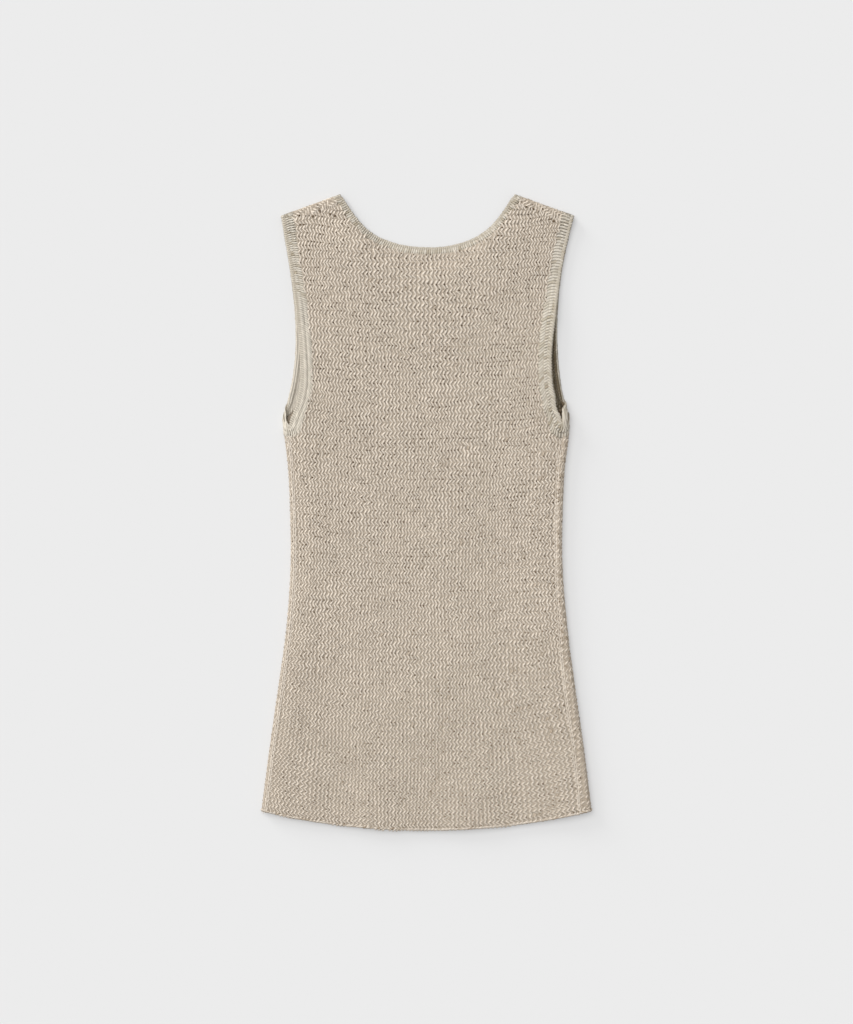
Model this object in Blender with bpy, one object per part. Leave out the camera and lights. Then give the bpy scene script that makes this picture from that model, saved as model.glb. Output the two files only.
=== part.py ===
"""Sleeveless knit top, laid flat on its front with the back uppermost.

The neck points to +Y, the table is z = 0 and the wearer's left is at -X. Sizes are in millimetres.
The garment is a knitted tube pressed flat: the front lies on the table and rolls round the side
folds and over the shoulder folds, to seams that lie on the upper side. The back lies on the front.
Three knitted bands edge the neck and the armholes, and each runs round both layers.

Every piece is one wall of cloth, made from grids of spots. A spot holds a point of the wall's
outside face and the point behind it, so that two walls stay parallel where they meet at a seam.
Beside a fold a place is given as developed lengths, as on the unrolled cloth: "around" is measured
from the fold's outermost line, plus on the back and minus on the front.
"""

import math
from collections import namedtuple

import bmesh
import bpy
from mathutils import Vector

MM = 0.001
TOP_NAME = "sleeveless_knit_top"

# Cloth
WALL = 2.4
LAYER_GAP = 0.6
SEAM_GAP = 0.3
ARM_SEAM_GAP = 0.45  # narrows to about 0.1 on the inside of the side folds
FLAT_TOP = 2 * WALL + LAYER_GAP

# Outline
HALF_LENGTH = 310.0
HEM_HALF_WIDTH = 161.4
HEM_RISE = 19.0
HEM_POWER = 2.1
ARM_BAND = 10.0
NECK_BAND = 5.6
SHOULDER_SEAM = 9.0

# Folds
SIDE_RADIUS = {"left": 3.6, "right": 4.2}
SHOULDER_RADIUS = 3.3
SHOULDER_REACH = 24.0
FOLD_STEPS = 12
QUARTER_TURN = math.pi / 2

# The grid of each piece. Rows crowd towards the underarm, where the armhole turns.
SIDE_ROWS = 13
LEG_ROWS = 16
LEG_CROWDING = 1.4
STRAP_COLUMNS = 4
FLAP_COLUMNS = 2
SMOOTH_STEPS = 6
WELD = 1e-6
CREASE_DEGREES = 50.0

OUTWARD = {"left": -1.0, "right": 1.0}

# The side folds' outermost lines, and how far inside each the side seam lies. The last row carries
# the lines on past the underarm, as a base to measure the armholes from.
Side = namedtuple("Side", "y left right left_seam right_seam")
SIDES = (
    Side(-291.0, -161.4, 161.4, 5.0, 12.5),
    Side(-232.0, -153.8, 154.0, 4.8, 10.6),
    Side(-173.0, -145.3, 145.4, 4.8, 10.6),
    Side(-115.0, -137.3, 137.8, 4.8, 8.2),
    Side(-56.0, -133.1, 132.9, 4.8, 6.8),
    Side(0.0, -133.4, 132.9, 4.8, 6.6),
    Side(45.0, -135.6, 135.2, 4.8, 7.0),
    Side(72.0, -138.7, 138.7, 4.8, 7.6),
    Side(90.0, -140.6, 139.8, 5.0, 8.0),
    Side(320.0, -152.0, 152.0, 5.0, 8.0),
)

# Edges of the armholes, from the underarm to the shoulder
Armhole = namedtuple("Armhole", "y back_left back_right front_left front_right")
ARMHOLES = (
    Armhole(100.0, -128.6, 128.6, -137.3, 136.0),
    Armhole(110.0, -125.2, 125.2, -134.2, 133.0),
    Armhole(120.0, -123.2, 122.9, -131.6, 130.8),
    Armhole(132.0, -122.4, 121.7, -129.3, 129.0),
    Armhole(150.0, -123.0, 121.4, -127.2, 127.3),
    Armhole(170.0, -124.3, 122.8, -126.5, 126.5),
    Armhole(190.0, -126.0, 125.4, -127.1, 126.7),
    Armhole(210.0, -128.4, 127.7, -128.8, 128.0),
    Armhole(230.0, -131.4, 130.3, -131.4, 130.3),
    Armhole(250.0, -134.6, 133.9, -134.6, 133.9),
    Armhole(268.0, -137.8, 138.0, -137.8, 138.0),
)

# The foot of each armhole, as developed lengths from its back edge round the side fold to its front
Underarm = namedtuple("Underarm", "y left right")
UNDERARM = (
    Underarm(92.6, 11.7, 12.4),
    Underarm(87.4, 9.6, 11.2),
    Underarm(84.8, 6.8, 8.8),
    Underarm(85.4, 4.0, 5.2),
    Underarm(87.4, 1.5, 1.9),
    Underarm(90.8, -0.9, -0.9),
    Underarm(95.2, -3.2, -3.7),
)

# Edges of the neck. The front is cut lower and is hidden under the back.
Neckline = namedtuple("Neckline", "x back front")
NECKLINES = (
    Neckline(-80.5, 303.6, 294.0),
    Neckline(-75.0, 295.2, 279.5),
    Neckline(-66.0, 283.0, 262.0),
    Neckline(-56.0, 273.2, 248.0),
    Neckline(-42.0, 265.4, 235.6),
    Neckline(-22.0, 259.4, 226.0),
    Neckline(0.0, 257.4, 223.0),
    Neckline(22.0, 258.8, 226.0),
    Neckline(44.0, 265.4, 236.0),
    Neckline(58.0, 273.6, 248.4),
    Neckline(68.0, 283.4, 262.4),
    Neckline(77.0, 295.6, 280.0),
    Neckline(82.5, 304.4, 294.6),
)

# Outermost line of each shoulder fold, from the armhole to the neck
Shoulder = namedtuple("Shoulder", "tip_x tip_y neck_x neck_y")
SHOULDERS = {
    "left": Shoulder(-141.6, 289.2, -84.6, 310.0),
    "right": Shoulder(143.6, 289.2, 86.6, 310.0),
}

# How much the back stands above its flat height beside the side folds, by the distance from the
# seam. It dips at the seam, rolls up beyond it and settles again.
Roll = namedtuple("Roll", "inside left right")
ROLLS = (
    Roll(0.0, 0.4, 0.8),
    Roll(14.0, 0.9, 1.9),
    Roll(32.0, 0.5, 1.1),
    Roll(60.0, 0.0, 0.0),
)
ROLL_FADES_FROM = 110.0
ROLL_FADES_OVER = 120.0

# Soft ridges that run up the back from the hem
Ridge = namedtuple("Ridge", "x half_width height reach")
RIDGES = (
    Ridge(-118.0, 22.0, 0.6, 60.0),
    Ridge(-52.0, 34.0, 1.5, 110.0),
    Ridge(43.0, 38.0, 1.3, 80.0),
    Ridge(96.0, 20.0, 0.8, 60.0),
)

# Between the two necklines the back has no front under it, and it sinks towards the table.
NECK_SAG = 2.2
SAG_STARTS = 5.0
SAG_OVER = 16.0
SLOPE_REACH = 0.5

Spot = namedtuple("Spot", "outside inside")

Finish = namedtuple("Finish", "colour roughness")
BODY_KNIT = Finish((0.51, 0.43, 0.35), 0.92)
BAND_KNIT = Finish((0.56, 0.49, 0.40), 0.90)


def eased(share):
    """A share from 0 to 1 that starts and ends gently."""
    share = min(max(share, 0.0), 1.0)
    return share * share * (3 - 2 * share)


def slope_at(rows, index, column):
    """Slope of a table's smooth curve at one of its rows."""
    low = rows[max(index - 1, 0)]
    high = rows[min(index + 1, len(rows) - 1)]
    return (getattr(high, column) - getattr(low, column)) / (high[0] - low[0])


def read(rows, column, key):
    """A column's value on a smooth curve through the rows, whose first column is the key."""
    key = min(max(key, rows[0][0]), rows[-1][0])
    index = max(i for i in range(len(rows) - 1) if rows[i][0] <= key)
    low, high = rows[index], rows[index + 1]
    span = high[0] - low[0]
    share = (key - low[0]) / span
    rest = 1 - share
    return (
        getattr(low, column) * rest * rest * (1 + 2 * share)
        + getattr(high, column) * share * share * (3 - 2 * share)
        + slope_at(rows, index, column) * span * share * rest * rest
        - slope_at(rows, index + 1, column) * span * share * share * rest
    )


def hem_y(x):
    """Height of the hem's curve."""
    return -HALF_LENGTH + HEM_RISE * (abs(x) / HEM_HALF_WIDTH) ** HEM_POWER


def side_inset(side, x, y):
    """Distance inside a side fold's outermost line, seen from above."""
    return OUTWARD[side] * (read(SIDES, side, y) - x)


def seam_inset(side, y):
    """Distance of a side seam inside its fold's outermost line."""
    return read(SIDES, side + "_seam", y)


def shoulder_axes(side):
    """The armhole end of a shoulder fold, its direction to the neck and its outward normal."""
    line = SHOULDERS[side]
    tip = Vector((line.tip_x, line.tip_y))
    along = (Vector((line.neck_x, line.neck_y)) - tip).normalized()
    outward = Vector((-along.y, along.x))
    return tip, along, outward if outward.y > 0 else -outward


def shoulder_length(side):
    line = SHOULDERS[side]
    return math.hypot(line.neck_x - line.tip_x, line.neck_y - line.tip_y)


def shoulder_inset(side, x, y):
    """Distance inside a shoulder fold's outermost line, seen from above."""
    tip, _, outward = shoulder_axes(side)
    return (tip - Vector((x, y))).dot(outward)


def side_rise(side, x, y):
    """How much the roll beside a side fold lifts the back."""
    inset = side_inset(side, x, y)
    seam = seam_inset(side, y)
    radius = SIDE_RADIUS[side]
    at_seam = read(ROLLS, side, 0.0)
    if inset < seam:
        share = eased((inset - radius) / (seam - radius))
        rise = (2 * radius - FLAT_TOP) * (1 - share) + at_seam * share
    else:
        rise = read(ROLLS, side, inset - seam)
    return rise * (1 - eased((y - ROLL_FADES_FROM) / ROLL_FADES_OVER))


def ridge_rise(x, y):
    """How much the ridges above the hem lift the back."""
    rise = 0.0
    for ridge in RIDGES:
        across = 1 - eased(abs(x - ridge.x) / ridge.half_width)
        up = 1 - eased((y - hem_y(x)) / ridge.reach)
        rise += ridge.height * across * up
    return rise


def neck_sag(x, y):
    """How far the back sinks where no front lies under it."""
    if abs(x) > NECKLINES[-1].x:
        return 0.0
    edge = read(NECKLINES, "front", x)
    ahead = read(NECKLINES, "front", x + SLOPE_REACH)
    behind = read(NECKLINES, "front", x - SLOPE_REACH)
    past_edge = (y - edge) / math.hypot(1.0, (ahead - behind) / (2 * SLOPE_REACH))
    return NECK_SAG * eased((past_edge - SAG_STARTS) / SAG_OVER)


def top_height(x, y):
    """Height of the garment's upper face above the table."""
    side = "left" if x < 0 else "right"
    fold_rise = 2 * SHOULDER_RADIUS - FLAT_TOP
    near_shoulder = 1 - eased((shoulder_inset(side, x, y) - SHOULDER_RADIUS) / SHOULDER_REACH)
    lift = side_rise(side, x, y) + ridge_rise(x, y) + fold_rise * near_shoulder
    return FLAT_TOP + lift - neck_sag(x, y)


def unrolled(inset, radius):
    """Developed length round a fold to a place that lies flat, this far inside the fold."""
    return inset + (QUARTER_TURN - 1) * radius


def on_back(x, y):
    """Spot of the back, or of what rolls over onto it."""
    top = top_height(x, y)
    return Spot(Vector((x, y, top)), Vector((x, y, top - WALL)))


def on_front(x, y):
    """Spot of the front where it lies flat."""
    return Spot(Vector((x, y, 0.0)), Vector((x, y, WALL)))


def on_fold(around, radius, place):
    """Spot at a developed length round a fold. place(inset) gives the x and y at an inset."""
    if abs(around) > QUARTER_TURN * radius:
        x, y = place(abs(around) - unrolled(0.0, radius))
        return on_back(x, y) if around > 0 else on_front(x, y)
    angle = around / radius
    faces = []
    for reach in (radius, radius - WALL):
        x, y = place(radius - reach * math.cos(angle))
        faces.append(Vector((x, y, radius + reach * math.sin(angle))))
    return Spot(*faces)


def on_side(side, around, y):
    """Spot at developed lengths from a side fold."""
    edge = read(SIDES, side, y)
    return on_fold(around, SIDE_RADIUS[side], lambda inset: (edge - OUTWARD[side] * inset, y))


def on_shoulder(side, along, around):
    """Spot at developed lengths from a shoulder fold."""
    tip, direction, outward = shoulder_axes(side)
    return on_fold(
        around, SHOULDER_RADIUS, lambda inset: tip + direction * along - outward * inset
    )


def seen_from_above(spots):
    """The x and y of each spot's outside point."""
    return [spot.outside.xy for spot in spots]


def fold_lengths(radius):
    """Developed lengths from the front, round a fold, to the back."""
    return [
        QUARTER_TURN * radius * (2 * step / FOLD_STEPS - 1) for step in range(FOLD_STEPS + 1)
    ]


def directions(points):
    """Direction of a line at each of its points."""
    last = len(points) - 1
    return [
        (points[min(index + 1, last)] - points[max(index - 1, 0)]).normalized()
        for index in range(last + 1)
    ]


def offset_line(points, inset, towards):
    """Points moved sideways by a distance, to the side of the line that the sign towards gives."""
    return [
        point + towards * inset * Vector((-run.y, run.x))
        for point, run in zip(points, directions(points), strict=True)
    ]


def rounded(points):
    """A smooth line through some points, with SMOOTH_STEPS points to a span."""
    runs = directions(points)
    line = []
    for index in range(len(points) - 1):
        low, high = points[index], points[index + 1]
        span = (high - low).length
        for step in range(SMOOTH_STEPS):
            share = step / SMOOTH_STEPS
            rest = 1 - share
            line.append(
                low * rest * rest * (1 + 2 * share)
                + high * share * share * (3 - 2 * share)
                + runs[index] * span * share * rest * rest
                - runs[index + 1] * span * share * share * rest
            )
    return line + [points[-1]]


def clipped(points, measure):
    """The stretch of a line where a measure of its points is above zero, with cut ends added."""
    kept = []
    for index, point in enumerate(points):
        value = measure(point)
        if index:
            before = points[index - 1]
            last = measure(before)
            if (value > 0) != (last > 0):
                kept.append(before.lerp(point, last / (last - value)))
        if value > 0:
            kept.append(point)
    return kept


def at_shares(points, shares):
    """Points of a line at shares of its length, given in rising order."""
    lengths = [0.0]
    for before, point in zip(points, points[1:], strict=False):
        lengths.append(lengths[-1] + (point - before).length)
    found = []
    index = 0
    for share in shares:
        wanted = share * lengths[-1]
        while index < len(points) - 2 and lengths[index + 1] < wanted:
            index += 1
        span = lengths[index + 1] - lengths[index]
        found.append(points[index].lerp(points[index + 1], (wanted - lengths[index]) / span))
    return found


def arm_curve(side, inset):
    """A line round an armhole at a distance from its edge, from the back's shoulder to the front's.

    Each point is the developed length round the side fold and the height y.
    """
    radius = SIDE_RADIUS[side]

    def developed(x, y, layer):
        return Vector((layer * unrolled(side_inset(side, x, y), radius), y))

    back = [developed(getattr(row, "back_" + side), row.y, 1) for row in reversed(ARMHOLES)]
    foot = [Vector((getattr(row, side), row.y)) for row in UNDERARM]
    front = [developed(getattr(row, "front_" + side), row.y, -1) for row in ARMHOLES]
    line = offset_line(rounded(back + foot + front), inset, 1)
    tip, along, outward = shoulder_axes(side)
    corner = tip + along * inset - outward * SHOULDER_RADIUS
    return [developed(*corner, 1)] + line + [developed(*corner, -1)]


def leg_points(curve):
    """Points of an armhole's leg, from the side fold up to the shoulder."""
    return at_shares(curve, [(row / LEG_ROWS) ** LEG_CROWDING for row in range(LEG_ROWS + 1)])


def back_leg(side, inset):
    """The back's part of a line round an armhole, from the side fold up to the shoulder."""
    limit = QUARTER_TURN * SIDE_RADIUS[side]
    above = clipped(arm_curve(side, inset), lambda point: point.x - limit)
    return leg_points(list(reversed(above)))


def front_leg(side, inset):
    """The front's part of a line round an armhole, from the side fold up to the shoulder."""
    limit = -QUARTER_TURN * SIDE_RADIUS[side]
    return leg_points(clipped(arm_curve(side, inset), lambda point: limit - point.x))


def arm_line(side, inset):
    """The points of an armband at a distance from the armhole's edge, in developed lengths."""
    curve = arm_curve(side, inset)
    round_fold = [
        clipped(curve, lambda point, limit=around: point.x - limit)[-1]
        for around in reversed(fold_lengths(SIDE_RADIUS[side])[1:-1])
    ]
    return list(reversed(back_leg(side, inset))) + round_fold + front_leg(side, inset)


def neck_line(layer, inset):
    """A line along a neck edge at a distance from it, seen from above, from left to right."""
    edge = [Vector((row.x, getattr(row, layer))) for row in NECKLINES]
    line = offset_line(edge, inset, -1)
    corners = []
    for side in ("left", "right"):
        tip, along, outward = shoulder_axes(side)
        reach = shoulder_length(side) - inset
        corners.append(tip + along * reach - outward * SHOULDER_RADIUS)
    return [corners[0]] + line + [corners[1]]


def spaced(start, end, count):
    """Points evenly spaced from a start, with the end left out."""
    return [start.lerp(end, index / count) for index in range(count)]


def patch(left, right, bottom, top):
    """Rows of points that fill four border lines, each row from the left border to the right."""
    low_left, low_right, high_left, high_right = bottom[0], bottom[-1], top[0], top[-1]
    rows = []
    for start, end in zip(left, right, strict=True):
        up = ((start.y - low_left.y) + (end.y - low_right.y)) / (
            (high_left.y - low_left.y) + (high_right.y - low_right.y)
        )
        row = []
        for low, high in zip(bottom, top, strict=True):
            across = ((low.x - low_left.x) + (high.x - high_left.x)) / (
                (low_right.x - low_left.x) + (high_right.x - high_left.x)
            )
            corners = low_left.lerp(low_right, across).lerp(
                high_left.lerp(high_right, across), up
            )
            row.append(low.lerp(high, up) + start.lerp(end, across) - corners)
        rows.append(row)
    return rows


def side_heights(side, around, y_end):
    """Heights y of the rows beside a side seam, from the hem to the armband."""
    start = hem_y(on_side(side, around, SIDES[0].y).outside.x)
    return [start + (y_end - start) * row / SIDE_ROWS for row in range(SIDE_ROWS)]


def seam_around(side, y):
    """Developed length from a side fold to its seam."""
    return unrolled(seam_inset(side, y), SIDE_RADIUS[side])


def top_border(left_end, neck, right_end):
    """Upper border of a panel: a strap's end, the neck and the other strap's end."""
    return (
        spaced(left_end, neck[0], STRAP_COLUMNS)
        + neck
        + list(reversed(spaced(right_end, neck[-1], STRAP_COLUMNS)))
    )


def hem_border(left_corner, right_corner, top):
    """Lower border of a panel, with a point under each point of the upper border."""
    border = []
    for point in top:
        share = (point.x - top[0].x) / (top[-1].x - top[0].x)
        x = left_corner.x + (right_corner.x - left_corner.x) * share
        border.append(Vector((x, hem_y(x))))
    return border


def evened(left, right):
    """Two lines given the same number of points, by splitting the longest spans of the shorter."""
    lines = [list(left), list(right)]
    count = max(len(left), len(right))
    for line in lines:
        while len(line) < count:
            spans = [(b - a).length for a, b in zip(line, line[1:], strict=False)]
            index = spans.index(max(spans))
            line.insert(index + 1, line[index].lerp(line[index + 1], 0.5))
    return lines


def back_arm(side):
    """The back's border with an armband, seen from above, from the side seam to the shoulder."""
    clear = SEAM_GAP / 2
    leg = clipped(
        back_leg(side, ARM_BAND + ARM_SEAM_GAP),
        lambda point: point.x - seam_around(side, point.y) - clear,
    )
    plan = seen_from_above(on_side(side, *point) for point in leg)
    return clipped(plan, lambda point: shoulder_inset(side, *point) - SHOULDER_SEAM - clear)


def back_seam(side, y_end):
    """The back's border with the front, seen from above, from the hem to the armband."""
    clear = SEAM_GAP / 2
    heights = side_heights(side, seam_around(side, SIDES[0].y), y_end)
    return seen_from_above(on_side(side, seam_around(side, y) + clear, y) for y in heights)


def back_grid():
    """Spots of the back, row by row from the hem."""
    left_arm, right_arm = evened(back_arm("left"), back_arm("right"))
    left = back_seam("left", left_arm[0].y) + left_arm
    right = back_seam("right", right_arm[0].y) + right_arm
    clear = SEAM_GAP / 2
    neck = clipped(
        neck_line("back", NECK_BAND + SEAM_GAP),
        lambda point: shoulder_inset("left" if point.x < 0 else "right", *point)
        - SHOULDER_SEAM
        - clear,
    )
    top = top_border(left[-1], neck, right[-1])
    rows = patch(left, right, hem_border(left[0], right[0], top), top)
    return [[on_back(*point) for point in row] for row in rows]


def front_roll(side):
    """Columns of the front round a side fold, from its flat part to the side seam."""
    clear = SEAM_GAP / 2
    radius = SIDE_RADIUS[side]
    arm = arm_curve(side, ARM_BAND + ARM_SEAM_GAP)
    flap_start = QUARTER_TURN * radius

    def column(around_at):
        end = clipped(arm, lambda point: point.x - around_at(point.y))[-1]
        heights = side_heights(side, around_at(SIDES[0].y), end.y) + [end.y]
        return [on_side(side, around_at(y), y) for y in heights]

    columns = [column(lambda y, length=length: length) for length in fold_lengths(radius)]
    for step in range(1, FLAP_COLUMNS + 1):
        share = step / FLAP_COLUMNS
        columns.append(
            column(
                lambda y, part=share: flap_start
                + (seam_around(side, y) - clear - flap_start) * part
            )
        )
    return columns


def front_border(side, flat_edge):
    """Side border of the front's flat part: up the fold and then along the armband."""
    leg = front_leg(side, ARM_BAND + ARM_SEAM_GAP)
    return seen_from_above(flat_edge[:-1] + [on_side(side, *point) for point in leg])


def shoulder_roll(side, feet):
    """Rows of the front over a shoulder fold, from its flat part to the shoulder seam."""
    tip, direction, _ = shoulder_axes(side)
    rows = []
    seam = unrolled(SHOULDER_SEAM - SEAM_GAP / 2, SHOULDER_RADIUS)
    for around in fold_lengths(SHOULDER_RADIUS) + [seam]:
        rows.append([on_shoulder(side, (foot - tip).dot(direction), around) for foot in feet])
    return rows


def front_grids():
    """Spots of the front: its flat part, two side rolls and two shoulder rolls."""
    rolls = {side: front_roll(side) for side in OUTWARD}
    left = front_border("left", rolls["left"][0])
    right = front_border("right", rolls["right"][0])
    top = top_border(left[-1], neck_line("front", NECK_BAND + SEAM_GAP), right[-1])
    rows = patch(left, right, hem_border(left[0], right[0], top), top)
    flat = [[on_front(*point) for point in reversed(row)] for row in rows]
    grids = [flat, [list(row) for row in zip(*rolls["left"], strict=True)]]
    grids.append([list(reversed(row)) for row in zip(*rolls["right"], strict=True)])
    last = seen_from_above(flat[-1])
    grids.append(shoulder_roll("left", last[-STRAP_COLUMNS - 1 :]))
    grids.append(shoulder_roll("right", last[: STRAP_COLUMNS + 1]))
    return grids


def armband_grid(side):
    """Spots of an armband, from the armhole's edge to its seam with the body."""
    fold = fold_lengths(SHOULDER_RADIUS)[1:-1]
    rows = []
    for inset in (0.0, ARM_BAND / 2, ARM_BAND):
        ring = [on_side(side, *point) for point in arm_line(side, inset)]
        ring += [on_shoulder(side, inset, around) for around in fold]
        rows.append(ring + ring[:1])
    return rows


def neckband_grid():
    """Spots of the neckband, from the neck's edge to its seam with the body."""
    fold = fold_lengths(SHOULDER_RADIUS)[1:-1]
    rows = []
    for inset in (0.0, NECK_BAND):
        reach = {side: shoulder_length(side) - inset for side in OUTWARD}
        ring = [on_back(*point) for point in reversed(neck_line("back", inset))]
        ring += [on_shoulder("left", reach["left"], around) for around in reversed(fold)]
        ring += [on_front(*point) for point in neck_line("front", inset)]
        ring += [on_shoulder("right", reach["right"], around) for around in fold]
        rows.append(ring + ring[:1])
    return rows


def add_grid(cloth, inside, rows):
    """Adds a grid of faces whose corners are the given rows of spots."""
    height, width = len(rows) - 1, len(rows[0]) - 1
    made = bmesh.ops.create_grid(cloth, x_segments=width, y_segments=height, size=1.0)
    for corner in made["verts"]:
        column = round((corner.co.x + 1) / 2 * width)
        row = round((corner.co.y + 1) / 2 * height)
        corner.co = rows[row][column].outside * MM
        corner[inside] = rows[row][column].inside * MM


def add_wall(cloth, inside):
    """Closes the outside face with the inside one and with walls round its edges."""
    made = bmesh.ops.extrude_face_region(cloth, geom=cloth.faces[:], use_keep_orig=True)
    for item in made["geom"]:
        if isinstance(item, bmesh.types.BMVert):
            item.co = item[inside]
    bmesh.ops.recalc_face_normals(cloth, faces=cloth.faces[:])


def make_material(name, finish):
    """A plain knit finish."""
    material = bpy.data.materials.new(name)
    material.use_nodes = True
    shader = material.node_tree.nodes["Principled BSDF"]
    shader.inputs["Base Color"].default_value = (*finish.colour, 1.0)
    shader.inputs["Roughness"].default_value = finish.roughness
    shader.inputs["Metallic"].default_value = 0.0
    material.diffuse_color = (*finish.colour, 1.0)
    return material


def make_piece(name, grids, finish, collection):
    """One piece of cloth, from its grids of spots."""
    cloth = bmesh.new()
    inside = cloth.verts.layers.float_vector.new("inside")
    for rows in grids:
        add_grid(cloth, inside, rows)
    bmesh.ops.remove_doubles(cloth, verts=cloth.verts, dist=WELD)
    add_wall(cloth, inside)
    cloth.verts.layers.float_vector.remove(inside)
    mesh = bpy.data.meshes.new(name)
    cloth.to_mesh(mesh)
    cloth.free()
    mesh.shade_smooth()
    mesh.set_sharp_from_angle(angle=math.radians(CREASE_DEGREES))
    mesh.materials.append(make_material(name + "_knit", finish))
    collection.objects.link(bpy.data.objects.new(name, mesh))


def clear_scene():
    for thing in list(bpy.data.objects):
        bpy.data.objects.remove(thing, do_unlink=True)


def main():
    clear_scene()
    collection = bpy.data.collections.new(TOP_NAME)
    bpy.context.scene.collection.children.link(collection)
    make_piece("back_panel", [back_grid()], BODY_KNIT, collection)
    make_piece("front_panel", front_grids(), BODY_KNIT, collection)
    make_piece("neckband", [neckband_grid()], BAND_KNIT, collection)
    for side in OUTWARD:
        make_piece("armband_" + side, [armband_grid(side)], BAND_KNIT, collection)


main()
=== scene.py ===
"""Looks of a sleeveless knit top, laid flat on its front with the back uppermost.

The neck points to +Y and the table is z = 0. Sizes are in millimetres, and meshes are made in metres.
Each panel is a thin ground of cloth that is covered with stitches of yarn. The bands round the neck
and the armholes are ribbed shells. A place on the front is given on the cloth as unrolled: x and y are
those of the flat part, and they run on past a fold by the length of cloth that lies round it.
"""

import functools
import logging
import math
from collections.abc import Callable, Sequence
from dataclasses import dataclass, field
from enum import Enum, IntEnum
from typing import NamedTuple

import bmesh
import bpy
import numpy as np
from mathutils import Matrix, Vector


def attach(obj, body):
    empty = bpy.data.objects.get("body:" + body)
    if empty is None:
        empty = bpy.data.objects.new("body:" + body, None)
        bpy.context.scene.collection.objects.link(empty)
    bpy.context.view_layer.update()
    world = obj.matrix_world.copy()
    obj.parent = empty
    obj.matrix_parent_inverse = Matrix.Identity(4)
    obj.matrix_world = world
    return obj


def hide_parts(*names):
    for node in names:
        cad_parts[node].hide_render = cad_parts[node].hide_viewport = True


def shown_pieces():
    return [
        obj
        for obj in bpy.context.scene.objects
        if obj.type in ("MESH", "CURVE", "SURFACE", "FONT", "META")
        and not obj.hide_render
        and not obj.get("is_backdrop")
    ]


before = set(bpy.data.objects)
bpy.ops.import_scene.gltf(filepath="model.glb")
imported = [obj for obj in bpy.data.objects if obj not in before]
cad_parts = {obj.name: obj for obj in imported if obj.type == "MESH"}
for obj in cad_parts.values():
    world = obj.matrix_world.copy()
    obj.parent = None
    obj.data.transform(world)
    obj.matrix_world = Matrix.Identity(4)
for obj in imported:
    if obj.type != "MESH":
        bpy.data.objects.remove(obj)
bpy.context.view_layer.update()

log = logging.getLogger("knit_top")

Array = np.ndarray
Cloth = tuple[Array, Array]
Tree = tuple[bpy.types.NodeTree, dict[str, str]]

MM = 0.001
BODY = "root"
QUARTER = math.pi / 2
WHITE = (1.0, 1.0, 1.0, 1.0)


class Side(Enum):
    """The two sides of the garment, with the sign of x on each."""

    LEFT = -1
    RIGHT = 1

    @property
    def label(self) -> str:
        """The side's name in tables and in the names of pieces."""
        return self.name.lower()


class Layer(Enum):
    """The two layers of the pressed tube."""

    BACK = "back"
    FRONT = "front"


class SideRow(NamedTuple):
    """Outermost line of each side fold, and how far inside it the side seam lies."""

    y: float
    left: float
    right: float
    left_seam: float
    right_seam: float


class ArmholeRow(NamedTuple):
    """Edges of the armholes in x, from the underarm to the shoulder."""

    y: float
    back_left: float
    back_right: float
    front_left: float
    front_right: float


class UnderarmRow(NamedTuple):
    """Foot of each armhole, as lengths round the side fold, plus on the back and minus on the front."""

    y: float
    left: float
    right: float


class NeckRow(NamedTuple):
    """Edges of the neck in y. The front is cut lower than the back."""

    x: float
    back: float
    front: float


class ShoulderLine(NamedTuple):
    """Outermost line of a shoulder fold, from the armhole to the neck."""

    tip_x: float
    tip_y: float
    neck_x: float
    neck_y: float


class RollRow(NamedTuple):
    """How much the back stands above its flat height beside the side folds."""

    inside: float
    left: float
    right: float


class GaugeRow(NamedTuple):
    """The knit's gauge: wale pitch at the middle, row height, and how far the outer wales shift out."""

    y: float
    pitch: float
    row: float
    left: float
    right: float


class Crease(NamedTuple):
    """A soft ridge, or with a minus height a trough: its middle, half sizes, height and turn."""

    x: float
    y: float
    half_length: float
    half_width: float
    height: float
    turn: float


SIDES = (
    SideRow(-291.0, -161.4, 161.4, 5.0, 12.5),
    SideRow(-232.0, -153.8, 154.0, 4.8, 10.6),
    SideRow(-173.0, -145.3, 145.4, 4.8, 10.6),
    SideRow(-115.0, -137.3, 137.8, 4.8, 8.2),
    SideRow(-56.0, -133.1, 132.9, 4.8, 6.8),
    SideRow(0.0, -133.4, 132.9, 4.8, 6.6),
    SideRow(45.0, -135.6, 135.2, 4.8, 7.0),
    SideRow(72.0, -138.7, 138.7, 4.8, 7.6),
    SideRow(90.0, -140.6, 139.8, 5.0, 8.0),
    SideRow(98.0, -138.0, 137.2, 5.0, 8.0),
    SideRow(106.0, -136.6, 135.8, 5.0, 8.0),
    SideRow(320.0, -152.0, 152.0, 5.0, 8.0),
)
ARMHOLES = (
    ArmholeRow(110.0, -125.2, 125.2, -134.2, 133.0),
    ArmholeRow(120.0, -123.2, 122.9, -131.6, 130.8),
    ArmholeRow(132.0, -122.4, 121.7, -129.3, 129.0),
    ArmholeRow(150.0, -123.0, 121.4, -127.2, 127.3),
    ArmholeRow(170.0, -124.3, 122.8, -126.5, 126.5),
    ArmholeRow(190.0, -126.0, 125.4, -127.1, 126.7),
    ArmholeRow(210.0, -128.4, 127.7, -128.8, 128.0),
    ArmholeRow(230.0, -131.4, 130.3, -131.4, 130.3),
    ArmholeRow(250.0, -134.6, 133.9, -134.6, 133.9),
    ArmholeRow(268.0, -137.8, 138.0, -137.8, 138.0),
)
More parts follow.
